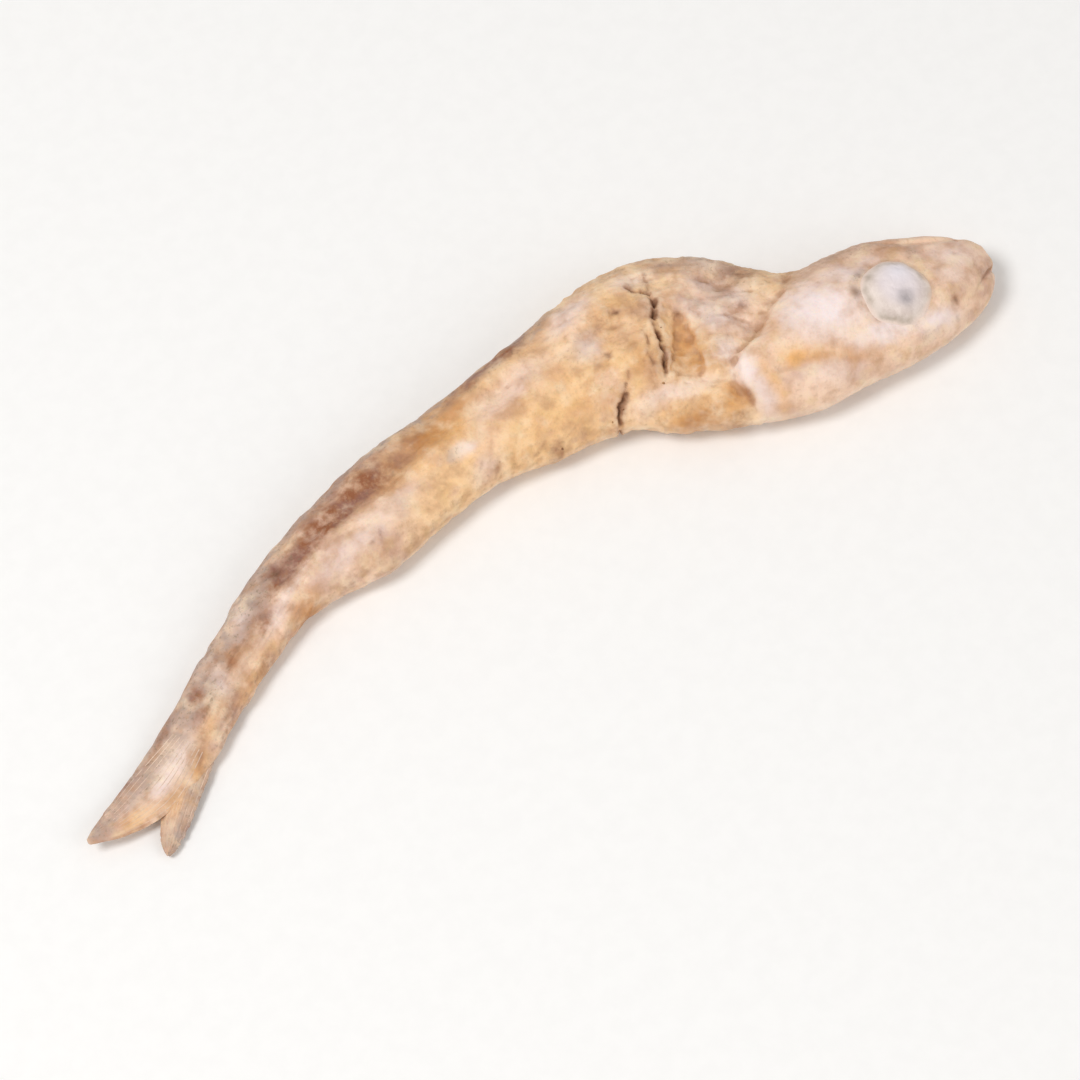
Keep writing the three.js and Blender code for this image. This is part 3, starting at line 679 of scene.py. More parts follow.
def fine_relief(points, at, share):
    x, y = points[..., 0], points[..., 1]
    head = ramp(-0.2, 0.6, line_distance(GILL_EDGE, x, y))
    rear = 1 - ramp(-20, -4, x)
    crust = ramp(9, 14, x) * (1 - head)
    height = wrinkles(points, at, share, head, rear, crust)
    fan = np.arctan2(y - HEAD_RAYS_FROM[1], x - HEAD_RAYS_FROM[0])
    reach = np.hypot(x - HEAD_RAYS_FROM[0], y - HEAD_RAYS_FROM[1])
    head_rays = np.sin(HEAD_RAYS * fan + 2.5 * noise(points, *RAY_BENDS))
    height += HEAD_RAY_HEIGHT * head * head_rays * bell((reach - 6.5) / 3.2)
    cut_x, cut_y = wandering(points, x, y, *CUTS_WANDER)
    height -= HOLLOW_DEPTH * ramp(-0.25, 0.3, line_distance(HOLLOW_RIM, cut_x, cut_y))
    peel = ramp(0.16, 0.24, noise(points, *PEELING)) * (1 - head) * ramp(-0.7, 0.2, np.abs(share))
    height -= PEEL_DEPTH * peel
    gape = crack_gape(points)
    for line, half, depth in CRACKS:
        away = line_distance(line, cut_x, cut_y)
        height += 0.12 * depth * bell((np.abs(away) - 0.5) / 0.35)
        height -= depth * gape * bell(away / half)
    for cx, cy, size, depth in PITS:
        height -= depth * bell(np.hypot(cut_x - cx, cut_y - cy) / size)
    lips = line_distance(LIPS, x + 0.3 * (cut_x - x), y + 0.3 * (cut_y - y))
    height += 0.12 * bell((np.abs(lips) - 0.55) / 0.4) * ramp(47, 50.5, x)
    return height - LIP_DEPTH * bell(lips / 0.17) * ramp(47.5, 51, x)


def settle(points):
    """Nothing reaches below the table."""
    points[..., 2] = np.maximum(points[..., 2], 0)
    return points


ring_place = np.repeat(ring_at[:, None], rings.shape[1], axis=1)
detail = fine_relief(rings, ring_place, ring_share)
skin_points = settle(rings + skin_normal * detail[..., None])
print("fine relief from", detail.min().round(2), "to", detail.max().round(2), "mm")

# %% [markdown]
# ## Depth in the folds, for painted shade
# A painted shade lies low in each crease and a painted highlight on its crest.
# The height of each point against the average of its surroundings tells the two
# apart, and is kept as one more mask.

# %% Folds and crests
SURROUNDINGS = 14  # how many times a point is averaged with its neighbours
FULL_FOLD = 0.16  # mm


def neighbours_mean(values, times):
    for _ in range(times):
        values = (np.roll(values, 1, 1) + np.roll(values, -1, 1) + 2 * values) / 4
        padded = np.pad(values, ((1, 1), (0, 0)), mode="edge")
        values = (padded[:-2] + padded[2:] + 2 * values) / 4
    return values


def folds(grid, normal):
    """Above 0 in a fold and below 0 on a crest, in mm."""
    smooth = np.stack([neighbours_mean(grid[..., i], SURROUNDINGS) for i in range(3)], -1)
    return np.sum((smooth - grid) * normal, -1)


skin_folds = folds(skin_points, skin_normal)
print("depth of folds, mm:", skin_folds.min().round(2), skin_folds.max().round(2))

# %% [markdown]
# ## Writing meshes
# Each grid becomes a Blender mesh of four-sided faces, with a fan of triangles
# at each end. The masks go in as attributes on the points, where the material
# finds them by name. Masks need no unwrapped texture, which suits a shape that
# is longer than it is wide and folded in places.

# %% From a grid of points to a mesh
def grid_mesh(name, grid, masks):
    """A closed mesh over rings of equally many points."""
    rows, count = grid.shape[:2]
    points = np.vstack([grid.reshape(-1, 3), grid[0].mean(0), grid[-1].mean(0)])
    index = np.arange(rows * count).reshape(rows, count)
    after = np.roll(index, -1, axis=1)
    quads = np.stack([index[:-1], after[:-1], after[1:], index[1:]], -1).reshape(-1, 4)
    first = [(a, rows * count, b) for a, b in zip(index[0], after[0])]
    last = [(a, b, rows * count + 1) for a, b in zip(index[-1], after[-1])]
    mesh = bpy.data.meshes.new(name)
    mesh.from_pydata(to_frame(points).tolist(), [], quads.tolist() + first + last)
    mesh.polygons.foreach_set("use_smooth", [True] * len(mesh.polygons))
    for mask, values in masks.items():
        ends = [values[0].mean(), values[-1].mean()]
        attribute = mesh.attributes.new(mask, "FLOAT", "POINT")
        attribute.data.foreach_set("value", np.r_[values.ravel(), ends].astype(np.float32))
    if signed_volume(mesh) < 0:
        mesh.flip_normals()
    return mesh


def signed_volume(mesh):
    """Above 0 where the faces point out."""
    mesh.calc_loop_triangles()
    corners = np.zeros(len(mesh.loop_triangles) * 3, np.int32)
    mesh.loop_triangles.foreach_get("vertices", corners)
    places = np.zeros(len(mesh.vertices) * 3, np.float32)
    mesh.vertices.foreach_get("co", places)
    a, b, c = places.reshape(-1, 3)[corners.reshape(-1, 3)].astype(float).transpose(1, 0, 2)
    return np.sum(a * np.cross(b, c)) / 6


def new_object(name, mesh, material=None):
    piece = bpy.data.objects.new(name, mesh)
    bpy.context.scene.collection.objects.link(piece)
    if material:
        mesh.materials.append(material)
    return piece


skin_masks = stains(rings, ring_share)
# painted shade in the folds and painted highlight on the crests, from the depth of the folds
skin_masks["fold_shading"] = np.clip(skin_folds / FULL_FOLD, -1, 1)
skin_mesh = grid_mesh("skin", skin_points, skin_masks)
print("skin triangles:", sum(len(p.vertices) - 2 for p in skin_mesh.polygons))
print("skin volume, cubic mm:", round(signed_volume(skin_mesh) / MM**3))

# %% [markdown]
# ## Shader maths as plain expressions
# A material is a chain of nodes, and wiring each one by hand hides what it
# says. The class below wraps one socket, so that `1 - mask * 0.5` adds the two
# Math nodes that it needs. Colours go through Mix nodes instead, because a Math
# node would turn them grey. Every other node comes from one method.

# %% Sockets that can be added and multiplied
class Value:
    """One output socket of a node tree."""

    def __init__(self, nodes, socket):
        self.nodes, self.socket = nodes, socket

    def maths(self, operation, first, second=0.0, clamp=False):
        settings = {"operation": operation, "use_clamp": clamp}
        return self.nodes.node("ShaderNodeMath", settings, {0: first, 1: second})

    def __add__(self, other):
        return self.maths("ADD", self, other)

    __radd__ = __add__

    def __sub__(self, other):
        return self.maths("SUBTRACT", self, other)

    def __rsub__(self, other):
        return self.maths("SUBTRACT", other, self)

    def __mul__(self, other):
        return self.maths("MULTIPLY", self, other)

    __rmul__ = __mul__

    def clamped(self):
        return self.maths("ADD", self, 0.0, clamp=True)

    def broken(self, grain, least, more):
        """A mask that a grain lets through, more where the grain is high."""
        return (self * (least + more * grain)).clamped()

    def between(self, low, high):
        """0 below low, 1 above high, smooth between them."""
        settings = {"interpolation_type": "SMOOTHSTEP"}
        sockets = {"Value": self, "From Min": low, "From Max": high}
        return self.nodes.node("ShaderNodeMapRange", settings, sockets)


def plain_colour(red, green, blue):
    """A colour as seen, from 0 to 255, in the linear numbers that light needs."""
    parts = [v / 255 for v in (red, green, blue)]
    return tuple(v / 12.92 if v <= 0.04045 else ((v + 0.055) / 1.055) ** 2.4 for v in parts) + (1.0,)


class Nodes:
    """A node tree that is put together node by node."""

    def __init__(self, tree):
        self.tree = tree

    def put(self, socket, value):
        if isinstance(value, Value):
            self.tree.links.new(value.socket, socket)
        else:
            socket.default_value = value

    def node(self, kind, settings=None, sockets=None, output=0):
        made = self.tree.nodes.new(kind)
        for setting, value in (settings or {}).items():
            setattr(made, setting, value)
        for socket, value in (sockets or {}).items():
            self.put(made.inputs[socket], value)
        return Value(self, made.outputs[output])


class Finish(Nodes):
    """A material that is put together node by node."""

    def __init__(self, name, roughness, **fixed):
        self.material = bpy.data.materials.new(name)
        self.material.use_nodes = True
        super().__init__(self.material.node_tree)
        self.tree.nodes.clear()
        self.surface = self.tree.nodes.new("ShaderNodeBsdfPrincipled")
        output = self.tree.nodes.new("ShaderNodeOutputMaterial")
        self.tree.links.new(self.surface.outputs[0], output.inputs[0])
        self.surface.inputs["Roughness"].default_value = roughness
        for socket, value in fixed.items():
            self.surface.inputs[socket.replace("_", " ")].default_value = value

    def mix(self, amount, first, second, blend="MIX"):
        settings = {"data_type": "RGBA", "blend_type": blend}
        return self.node("ShaderNodeMix", settings, {0: amount, 6: first, 7: second}, 2)

    def mask(self, name):
        return self.node("ShaderNodeAttribute", {"attribute_name": name}, output=2)

    def grain(self, size, detail=3.0, roughness=0.55, stretch=(1, 1, 1)):
        """Noise on Object coordinates with grains of a size in mm."""
        place = self.node("ShaderNodeTexCoord", output=3)
        turned = self.node("ShaderNodeMapping", {}, {"Vector": place, "Scale": stretch})
        sockets = {"Vector": turned, "Scale": 1 / (size * MM), "Detail": detail, "Roughness": roughness}
        return self.node("ShaderNodeTexNoise", {}, sockets)

    def finish(self, colour, roughness=None, bump=None, bump_height=0.1):
        """Feeds the sockets that change over the surface; the bump is in mm."""
        self.put(self.surface.inputs["Base Color"], colour)
        if roughness is not None:
            self.put(self.surface.inputs["Roughness"], roughness)
        if bump is not None:
            sockets = {"Height": bump, "Distance": bump_height * MM, "Strength": 1.0}
            self.put(self.surface.inputs["Normal"], self.node("ShaderNodeBump", {}, sockets))
        return self.material


print("a cream in linear numbers:", [round(v, 3) for v in plain_colour(249, 208, 159)])

# %% [markdown]
# ## The skin's finish
# The flesh colour shifts between cream and tan in soft clouds. Over it lie the
# stains, and the painted light and shade among them, by their masks, each broken
# up by its own grain, then fleck after fleck of brown where the skin is grey or
# stained, then painted shade low in the folds and a painted highlight on their
# crests, and last the dark of the cracks and pits, which is partly painted shade.
# The surface is dry but a little oily, so its gloss changes from place to place.

# %% Material of the dried skin
CREAM = plain_colour(249, 208, 159)
TAN = plain_colour(223, 176, 128)
ROSY_CREAM = plain_colour(245, 210, 187)
ROSY_TAN = plain_colour(214, 172, 145)
PINKISH_WHITE = plain_colour(250, 233, 230)
MAUVE_TINT = plain_colour(212, 178, 166)
STRAW = plain_colour(236, 204, 148)
AMBER_OIL = plain_colour(242, 182, 106)
OCHRE_OIL = plain_colour(200, 138, 76)
RED_BROWN = plain_colour(148, 90, 56)
GREY_MAUVE = plain_colour(172, 154, 146)
PURPLE_BROWN = plain_colour(146, 100, 84)
# dark flesh of the cracks, also used as painted shade in them
DARK_FLESH_AND_CRACK_SHADE = plain_colour(102, 62, 34)
# a dark tan for grain, also used as painted shade in the folds
DARK_TAN_AND_FOLD_SHADE = plain_colour(176, 128, 92)
# painted highlight for the crests of the folds
CREST_HIGHLIGHT = plain_colour(255, 236, 214)
SMUDGE = plain_colour(190, 142, 102)
LIGHT_FLESH = plain_colour(253, 228, 194)
OLIVE = plain_colour(134, 112, 86)


def skin_finish():
    skin = Finish(
        "dried_skin_finish", 0.5, Specular_IOR_Level=0.4, Subsurface_Weight=0.1,
        Subsurface_Scale=1.2 * MM, Subsurface_Radius=(1.0, 0.5, 0.3),
    )
    clouds, drifts = skin.grain(5.0, 3), skin.grain(2.4, 3, 0.5)
    blotches, grain, specks = skin.grain(1.3, 3, 0.5), skin.grain(0.5, 2), skin.grain(0.33, 2)
    smudges = skin.grain(1.9, 3, 0.5)
    pale, amber, ochre = skin.mask("pale"), skin.mask("amber"), skin.mask("ochre")
    brown, grey, rosy = skin.mask("brown"), skin.mask("grey"), skin.mask("rosy")
    dark, fold_shading = skin.mask("dark"), skin.mask("fold_shading")
    mottle = (clouds * 0.4 + drifts * 0.4 + blotches * 0.2).between(0.39, 0.61)
    flesh = skin.mix(mottle, CREAM, TAN)
    flesh = skin.mix(rosy.clamped(), flesh, skin.mix(mottle, ROSY_CREAM, ROSY_TAN))
    flesh = skin.mix(drifts.between(0.5, 0.66) * 0.34, flesh, MAUVE_TINT)
    flesh = skin.mix(blotches.between(0.5, 0.66) * 0.28, flesh, STRAW)
    flesh = skin.mix(amber.broken(drifts, 0.2, 1.2), flesh, AMBER_OIL)
    flesh = skin.mix(pale.broken(drifts, 0.6, 0.7), flesh, PINKISH_WHITE)
    flesh = skin.mix(ochre.broken(blotches, 0.5, 0.8), flesh, OCHRE_OIL)
    flesh = skin.mix((grey * (0.2 + 1.3 * blotches) * (1 - 0.7 * pale)).clamped(), flesh, GREY_MAUVE)
    flesh = skin.mix(smudges.between(0.47, 0.76) * (0.6 - 0.3 * pale), flesh, SMUDGE)
    flesh = skin.mix((1 - smudges).between(0.48, 0.76) * 0.5, flesh, LIGHT_FLESH)
    streaks = (0.6 * blotches + 0.4 * grain).between(0.3, 0.68)
    stain = skin.mix(drifts.between(0.42, 0.58), RED_BROWN, PURPLE_BROWN)
    flesh = skin.mix(brown.broken(streaks, 0.5, 0.68), flesh, stain)
    flecks = specks.between(0.56, 0.7) * (0.16 + 0.6 * grey + 0.3 * brown - 0.16 * pale).clamped()
    flesh = skin.mix(flecks * 0.7, flesh, OLIVE)
    flesh = skin.mix(grain.between(0.52, 0.7) * (0.16 + 0.3 * brown - 0.12 * pale).clamped(), flesh, DARK_TAN_AND_FOLD_SHADE)
    # painted shade low in the folds
    flesh = skin.mix(fold_shading.between(0.12, 1.0) * 0.55, flesh, DARK_TAN_AND_FOLD_SHADE)
    # painted highlight on the crests, less where the skin is brown or amber
    crest_highlight_share = (0.28 - 0.25 * brown - 0.15 * amber).clamped()
    flesh = skin.mix((fold_shading * -1.0).between(0.15, 1.0) * crest_highlight_share, flesh, CREST_HIGHLIGHT)
    # dark of the cracks and pits: partly dark flesh, partly painted shade
    flesh = skin.mix(dark, flesh, DARK_FLESH_AND_CRACK_SHADE)
    gloss = 0.38 + 0.25 * blotches + 0.12 * grey + 0.15 * brown
    pores = blotches * 0.6 + grain * 0.3 + specks * 0.12
    return skin.finish(flesh, gloss, pores, 0.16)


skin_material = skin_finish()
skin = new_object("skin", skin_mesh, skin_material)
print("nodes in the skin's material:", len(skin_material.node_tree.nodes))

# %% [markdown]
# ## Finding the surface under a place
# What lies on the fish has to follow it. A ray cast straight down on a piece
# gives the height of its surface at a place on the plan.

# %% Height of a piece
from mathutils.bvhtree import BVHTree

WELL_ABOVE = 40  # mm over the table, where the rays start


def surface_of(piece):
    return BVHTree.FromObject(piece, bpy.context.evaluated_depsgraph_get())


def height_on(surface, x, y):
    """Height of a surface in mm under places of the drawing."""
    heights = []
    for px, py in zip(np.ravel(x), np.ravel(y)):
        start = Vector(to_frame((px, py, WELL_ABOVE)))
        hit = surface.ray_cast(start, Vector((0, 0, -1)))[0]
        heights.append(hit.z / MM if hit else 0.0)
    return np.reshape(heights, np.shape(x))


skin_surface = surface_of(skin)
print("height beside the hollow, mm:", height_on(skin_surface, [24.5], [3.0]).round(2))

# %% [markdown]
# ## The worn tail fin
# The tail is two thin lobes, dried stiff and worn at the tips. The upper one
# goes on from the stem without a break, so the skin already makes it. The lower
# one is a flat blade along its own curve, thickest on its middle line. It dips
# between the rays, and its edge is nibbled by noise, more so towards the tip.

# %% The lower blade
# x, y, half width, height of the middle
UPPER_LOBE = [
    (-36.6, -6.2, 1.7, 1.6), (-42.5, -8.5, 2.7, 1.2), (-46.7, -9.4, 1.8, 1.5), (-50.0, -9.8, 0.7, 2.1),
]
LOWER_LOBE = [
    (-34.8, -5.6, 1.0, 1.2), (-37.5, -7.7, 1.6, 1.1), (-40.3, -10.0, 1.6, 1.05), (-43.2, -12.7, 1.2, 0.9),
    (-44.8, -14.4, 0.5, 0.9),
]
LOBE_ROWS, LOBE_POINTS = 120, 88
LOBE_THICK, LOBE_EDGE = 0.75, 0.16
LOBE_ROUND_FROM, LOBE_ROUND_TO = 0.85, 1.002
RAY_DIPS = 0.05
WEAR_ALONG, WEAR_SIDES, WEAR_SIZE = 14, 3.3, 1.1  # where the noise of the two edges lies
WEAR_AT_ROOT, WEAR_MORE_AT_TIP = 0.03, 0.44
CUPPED, UNEVEN = 0.35, 0.07


def along_line(stations, at):
    """A lobe's columns at shares of its length, and the direction there."""
    line = curve_through(np.asarray(stations, float))
    columns = [np.interp(at, np.linspace(0, 1, len(line)), column) for column in line.T]
    way = np.gradient(np.stack(columns[:2], -1), axis=0)
    return columns, way / np.linalg.norm(way, axis=-1, keepdims=True)


def blade(stations, rays, seed):
    """Rings across one lobe and how far across each point is."""
    at = np.linspace(0, 1, LOBE_ROWS)
    (x, y, half, z), way = along_line(stations, at)
    turn = np.linspace(0, 2 * math.pi, LOBE_POINTS, endpoint=False)
    aside, rise = np.cos(turn), np.sin(turn)
    all_points = np.ones((LOBE_ROWS, LOBE_POINTS))
    edge = np.stack([at[:, None] * WEAR_ALONG * all_points, np.sign(aside) * all_points * WEAR_SIDES,
                     0 * all_points], -1)
    wear = WEAR_AT_ROOT + WEAR_MORE_AT_TIP * at[:, None]
    worn = 1 - np.abs(noise(edge, WEAR_SIZE, seed, 3)) * wear
    end = np.sqrt(1 - np.clip((at - LOBE_ROUND_FROM) / (LOBE_ROUND_TO - LOBE_ROUND_FROM), 0, 1) ** 2)
    across = aside * (half * end)[:, None] * worn
    thin = LOBE_EDGE + (LOBE_THICK - LOBE_EDGE) * (1 - 0.75 * at[:, None])
    tall = thin / 2 * np.sign(rise) * np.abs(rise) ** 0.8
    folded = np.cos(2 * math.pi * rays * (aside + 1) / 2)
    dips = RAY_DIPS * folded * np.abs(rise) ** 0.5 * (rise > 0)
    px = x[:, None] - way[:, 1:2] * across
    py = y[:, None] + way[:, :1] * across
    cup = CUPPED * at[:, None] * (aside**2 - 0.4) * math.sin(seed)
    flat = np.stack([px, py, z[:, None] + tall + dips + cup], -1)
    flat[..., 2] += UNEVEN * noise(flat, 1.4, seed + 5, 3)
    return settle(flat), np.broadcast_to(aside, across.shape)


def lobe_piece(name, stations, rays, seed):
    grid, aside = blade(stations, rays, seed)
    masks = stains(grid, aside)
    masks["rosy"] = np.full(aside.shape, 0.6)
    # painted shade and highlight of the folds, as on the skin
    masks["fold_shading"] = np.clip(folds(grid, outward(grid)) / FULL_FOLD, -1, 1)
    return new_object(name, grid_mesh(name, grid, masks), skin_material)


lower_lobe = lobe_piece("tail_lobe_lower", LOWER_LOBE, 6, 5)
print("faces in the lower lobe:", len(lower_lobe.data.polygons))

# %% [markdown]
# ## A recipe in Geometry Nodes
# What repeats on the fish, its rays and crumbs, is grown by node trees.
# Each tree is built here with named inputs, so that its sizes can be read and
# changed. It ends by making the copies real and giving them their material,
# and the result is kept as a plain mesh.

# %% Trees with named inputs
SOCKET_KINDS = {int: "NodeSocketInt", float: "NodeSocketFloat"}


class Recipe(Nodes):
    """A Geometry Nodes tree that grows small things on a piece."""

    def __init__(self, name, **inputs):
        super().__init__(bpy.data.node_groups.new(name, "GeometryNodeTree"))
        face = self.tree.interface
        face.new_socket("Geometry", in_out="INPUT", socket_type="NodeSocketGeometry")
        face.new_socket("Geometry", in_out="OUTPUT", socket_type="NodeSocketGeometry")
        self.identifiers, self.values = {}, inputs
        for label, value in inputs.items():
            socket = face.new_socket(label, in_out="INPUT", socket_type=SOCKET_KINDS[type(value)])
            self.identifiers[label] = socket.identifier
        self.given = self.tree.nodes.new("NodeGroupInput")
        self.result = self.tree.nodes.new("NodeGroupOutput")

    def read(self, label):
        return Value(self, self.given.outputs[label])

    def serve(self, geometry, material):
        real = self.node("GeometryNodeRealizeInstances", {}, {0: geometry})
        sockets = {"Geometry": real, "Material": material}
        self.put(self.result.inputs[0], self.node("GeometryNodeSetMaterial", {}, sockets))

    def grow(self, name, base):
        """Runs the tree on a piece and keeps what grew as a piece of its own."""
        modifier = base.modifiers.new("recipe", "NODES")
        modifier.node_group = self.tree
        for label, value in self.values.items():
            modifier[self.identifiers[label]] = value
        view = bpy.context.evaluated_depsgraph_get()
        mesh = bpy.data.meshes.new_from_object(base.evaluated_get(view))
        mesh.name = name
        base.modifiers.remove(modifier)
        mesh.polygons.foreach_set("use_smooth", [True] * len(mesh.polygons))
        return new_object(name, mesh)


print("socket kinds:", SOCKET_KINDS)

# %% [markdown]
# ## Fin rays
# A fin is a skin over thin rays that fan out from the tail's root. Each ray is
# a line drawn on its lobe and sunk into it a little, and the tree turns the
# lines into tapering rods. Some rays are worn off short.

# %% Lines of the rays and the tree that thickens them
RAY_SUNK, RAY_STEPS, RAY_START = 0.03, 26, 0.06
RAY_SPREAD, RAY_JITTER, RAY_WEAR = 0.86, 0.03, 0.3
ON_THE_LOBE = 0.2  # mm; a lower height is the table beside the lobe
FEWEST_POINTS = 4


def ray_lines(stations, surface, rays, seed):
    """One line of points for each ray, on top of a lobe."""
    at = np.linspace(RAY_START, 1, RAY_STEPS)
    (x, y, half, _), way = along_line(stations, at)
    rng = np.random.default_rng(seed)
    lines = []
    for share in np.linspace(-RAY_SPREAD, RAY_SPREAD, rays):
        share = share + rng.uniform(-RAY_JITTER, RAY_JITTER)
        keep = at <= 1 - RAY_WEAR * abs(share) * rng.uniform(0.2, 1)
        across = share * half * (0.97 - 0.1 * at)
        px, py = (x - way[:, 1] * across)[keep], (y + way[:, 0] * across)[keep]
        height = height_on(surface, px, py)
        points = np.stack([px, py, height - RAY_SUNK], -1)[height > ON_THE_LOBE]
        if len(points) >= FEWEST_POINTS:
            lines.append(points)
    return lines


def line_object(name, lines):
    """Open lines as one mesh of edges."""
    points, edges = [], []
    for line in lines:
        start = len(points)
        points += to_frame(line).tolist()
        edges += [(start + i, start + i + 1) for i in range(len(line) - 1)]
    mesh = bpy.data.meshes.new(name)
    mesh.from_pydata(points, edges, [])
    return new_object(name, mesh)


def ray_recipe(material):
    rods = Recipe("fin_ray_rods", Thickness=0.055 * MM, Sides=8, Taper=0.5)
    curves = rods.node("GeometryNodeMeshToCurve", {}, {0: rods.read("Geometry")})
    along = rods.node("GeometryNodeSplineParameter")
    radius = rods.read("Thickness") * (1 - along * rods.read("Taper"))
    sockets = {"Resolution": rods.read("Sides"), "Radius": 1.0}
    ring = rods.node("GeometryNodeCurvePrimitiveCircle", {"mode": "RADIUS"}, sockets)
    sockets = {"Curve": curves, "Profile Curve": ring, "Scale": radius, "Fill Caps": True}
    tube = rods.node("GeometryNodeCurveToMesh", {}, sockets)
    rods.serve(tube, material)
    return rods


PALE_RAY, DULL_RAY = plain_colour(236, 210, 188), plain_colour(212, 184, 162)


def ray_finish():
    ray = Finish("fin_ray_finish", 0.45, Specular_IOR_Level=0.5)
    streak, grain = ray.grain(1.3, 3), ray.grain(0.3, 2)
    colour = ray.mix(streak.between(0.35, 0.65), PALE_RAY, DULL_RAY)
    colour = ray.mix(grain.between(0.58, 0.7) * 0.2, colour, DARK_TAN_AND_FOLD_SHADE)
    return ray.finish(colour, 0.35 + 0.3 * streak, grain, 0.03)


upper_lines = ray_lines(UPPER_LOBE, skin_surface, 10, 1)
lower_lines = ray_lines(LOWER_LOBE, surface_of(lower_lobe), 6, 2)
rays_base = line_object("ray_lines", upper_lines + lower_lines)
fin_rays = ray_recipe(ray_finish()).grow("fin_rays", rays_base)
bpy.data.objects.remove(rays_base)
print("faces in the rays:", len(fin_rays.data.polygons))

# %% [markdown]
# ## The clouded eye
# A dried fish's eye has gone milky: a shallow whitish lens in a ring of dull
# membrane, with a smudged pupil that sits low, a darker grey-mauve arc under it
# and a painted highlight on the lens. It is a closed cap that follows the flank,
# so it needs the height of the skin under each point, which a ray cast straight
# down finds.

# %% The eye as a cap on the flank
EYE_RADIUS, LENS_RADIUS = 3.5, 2.3
EYE_RINGS, EYE_POINTS = 46, 96
EYE_STRAYS = 0.06  # share by which its outline leaves a circle
CAP_CROWN, LENS_CROWN, CAP_THICK = 0.3, 0.12, 0.5
# the third radius is that of a darker grey-mauve arc low in the eye
RING_RADIUS, PUCKER_RADIUS, LOWER_ARC_RADIUS = 2.95, 2.75, 2.5
PUCKERS, PUCKER_HEIGHT = 19, 0.02
RING_SPOT = (39.1, -4.0)
# the second of these is where a highlight is painted on the lens
# in the eye: middle x, middle y, reach x, reach y
LENS, GLINT_SPOT, PUPIL = (0.55, 0.35, 2.3, 2.3), (1.3, 1.4, 1.2, 1.1), (0.35, -1.2, 0.8, 0.85)


def eye_grid():
    """Rings out over the top of the cap and back under it, with their masks."""
    out = np.linspace(0.02, 1, EYE_RINGS)
    r = np.r_[out, out[::-1]][:, None]
    top = np.r_[np.ones(EYE_RINGS), np.zeros(EYE_RINGS)][:, None]
    turn = np.linspace(0, 2 * math.pi, EYE_POINTS, endpoint=False)
    circle = np.stack([np.cos(turn), np.sin(turn), np.zeros(EYE_POINTS)], -1)
    reach = EYE_RADIUS * (1 + EYE_STRAYS * noise(circle, 0.8, 85, 2))
    x = EYE[0] + reach * r * np.cos(turn)
    y = EYE[1] + reach * r * np.sin(turn)
    level = neighbours_mean(height_on(skin_surface, x, y), 6)
    away = r * EYE_RADIUS
    lens = np.sqrt(np.maximum(0, 1 - (away / LENS_RADIUS) ** 2))
    crown = 0.03 + CAP_CROWN * (1 - r**2) ** 1.5 + LENS_CROWN * lens - 0.14 * ramp(0.92, 1.0, r)
    under = crown - (0.02 + CAP_THICK * (1 - r**6))
    cap = np.stack([x, y, level + np.where(top > 0, crown, under)], -1)
    cap[..., 2] += top * (0.09 * noise(cap, 1.5, 77, 3) + 0.03 * noise(cap, 0.5, 79, 2)) * (1 - r**2)
    pucker = np.sin(PUCKERS * turn + 4 * noise(cap, 2.0, 81)) * bell((away - PUCKER_RADIUS) / 0.35)
    cap[..., 2] += top * PUCKER_HEIGHT * pucker
    torn = noise(cap, 0.9, 87, 3)
    ring = bell((away - RING_RADIUS + 0.25 * torn) / 0.33)
    ring = ring * (0.2 + 0.8 * ramp(-0.25, 0.45, noise(cap, 1.9, 61)))
    dx, dy = x - EYE[0], y - EYE[1]
    below = ramp(0.2, -0.6, np.sin(turn) + 0 * r)

    def from_middle(cx, cy, wide, tall):
        return np.hypot((dx - cx) / wide, (dy - cy) / tall)

    masks = {
        "lens": bell(from_middle(*LENS) ** 2),
        # painted highlight on the lens
        "painted_glint": bell(from_middle(*GLINT_SPOT)),
        "pupil": bell(from_middle(*PUPIL)),
        "rim": ramp(0.82, 0.98, r + 0.09 * torn),
        "warm": np.broadcast_to(ramp(0.1, 0.9, np.cos(turn - 0.2)), x.shape),
        # a darker grey-mauve arc low in the eye
        "lower_arc": bell((np.hypot(dx, dy) - LOWER_ARC_RADIUS) / 0.5) * below,
        "ring": np.maximum(ring, 0.9 * bell(np.hypot(x - RING_SPOT[0], y - RING_SPOT[1]) / 0.5)),
    }
    return cap, masks


MEMBRANE, DULL_MEMBRANE = plain_colour(240, 224, 212), plain_colour(226, 208, 194)
# the second colour is a painted highlight on the lens
LENS_GREY, GLINT_WHITE = plain_colour(236, 225, 229), plain_colour(240, 234, 240)
# the second colour is the darker grey-mauve of the low arc
PUPIL_GREY, LOWER_ARC_MAUVE = plain_colour(168, 159, 160), plain_colour(190, 174, 172)
RIM_CREAM, RIM_TAN = plain_colour(238, 214, 200), plain_colour(222, 190, 164)
RING_GREY = plain_colour(166, 150, 132)


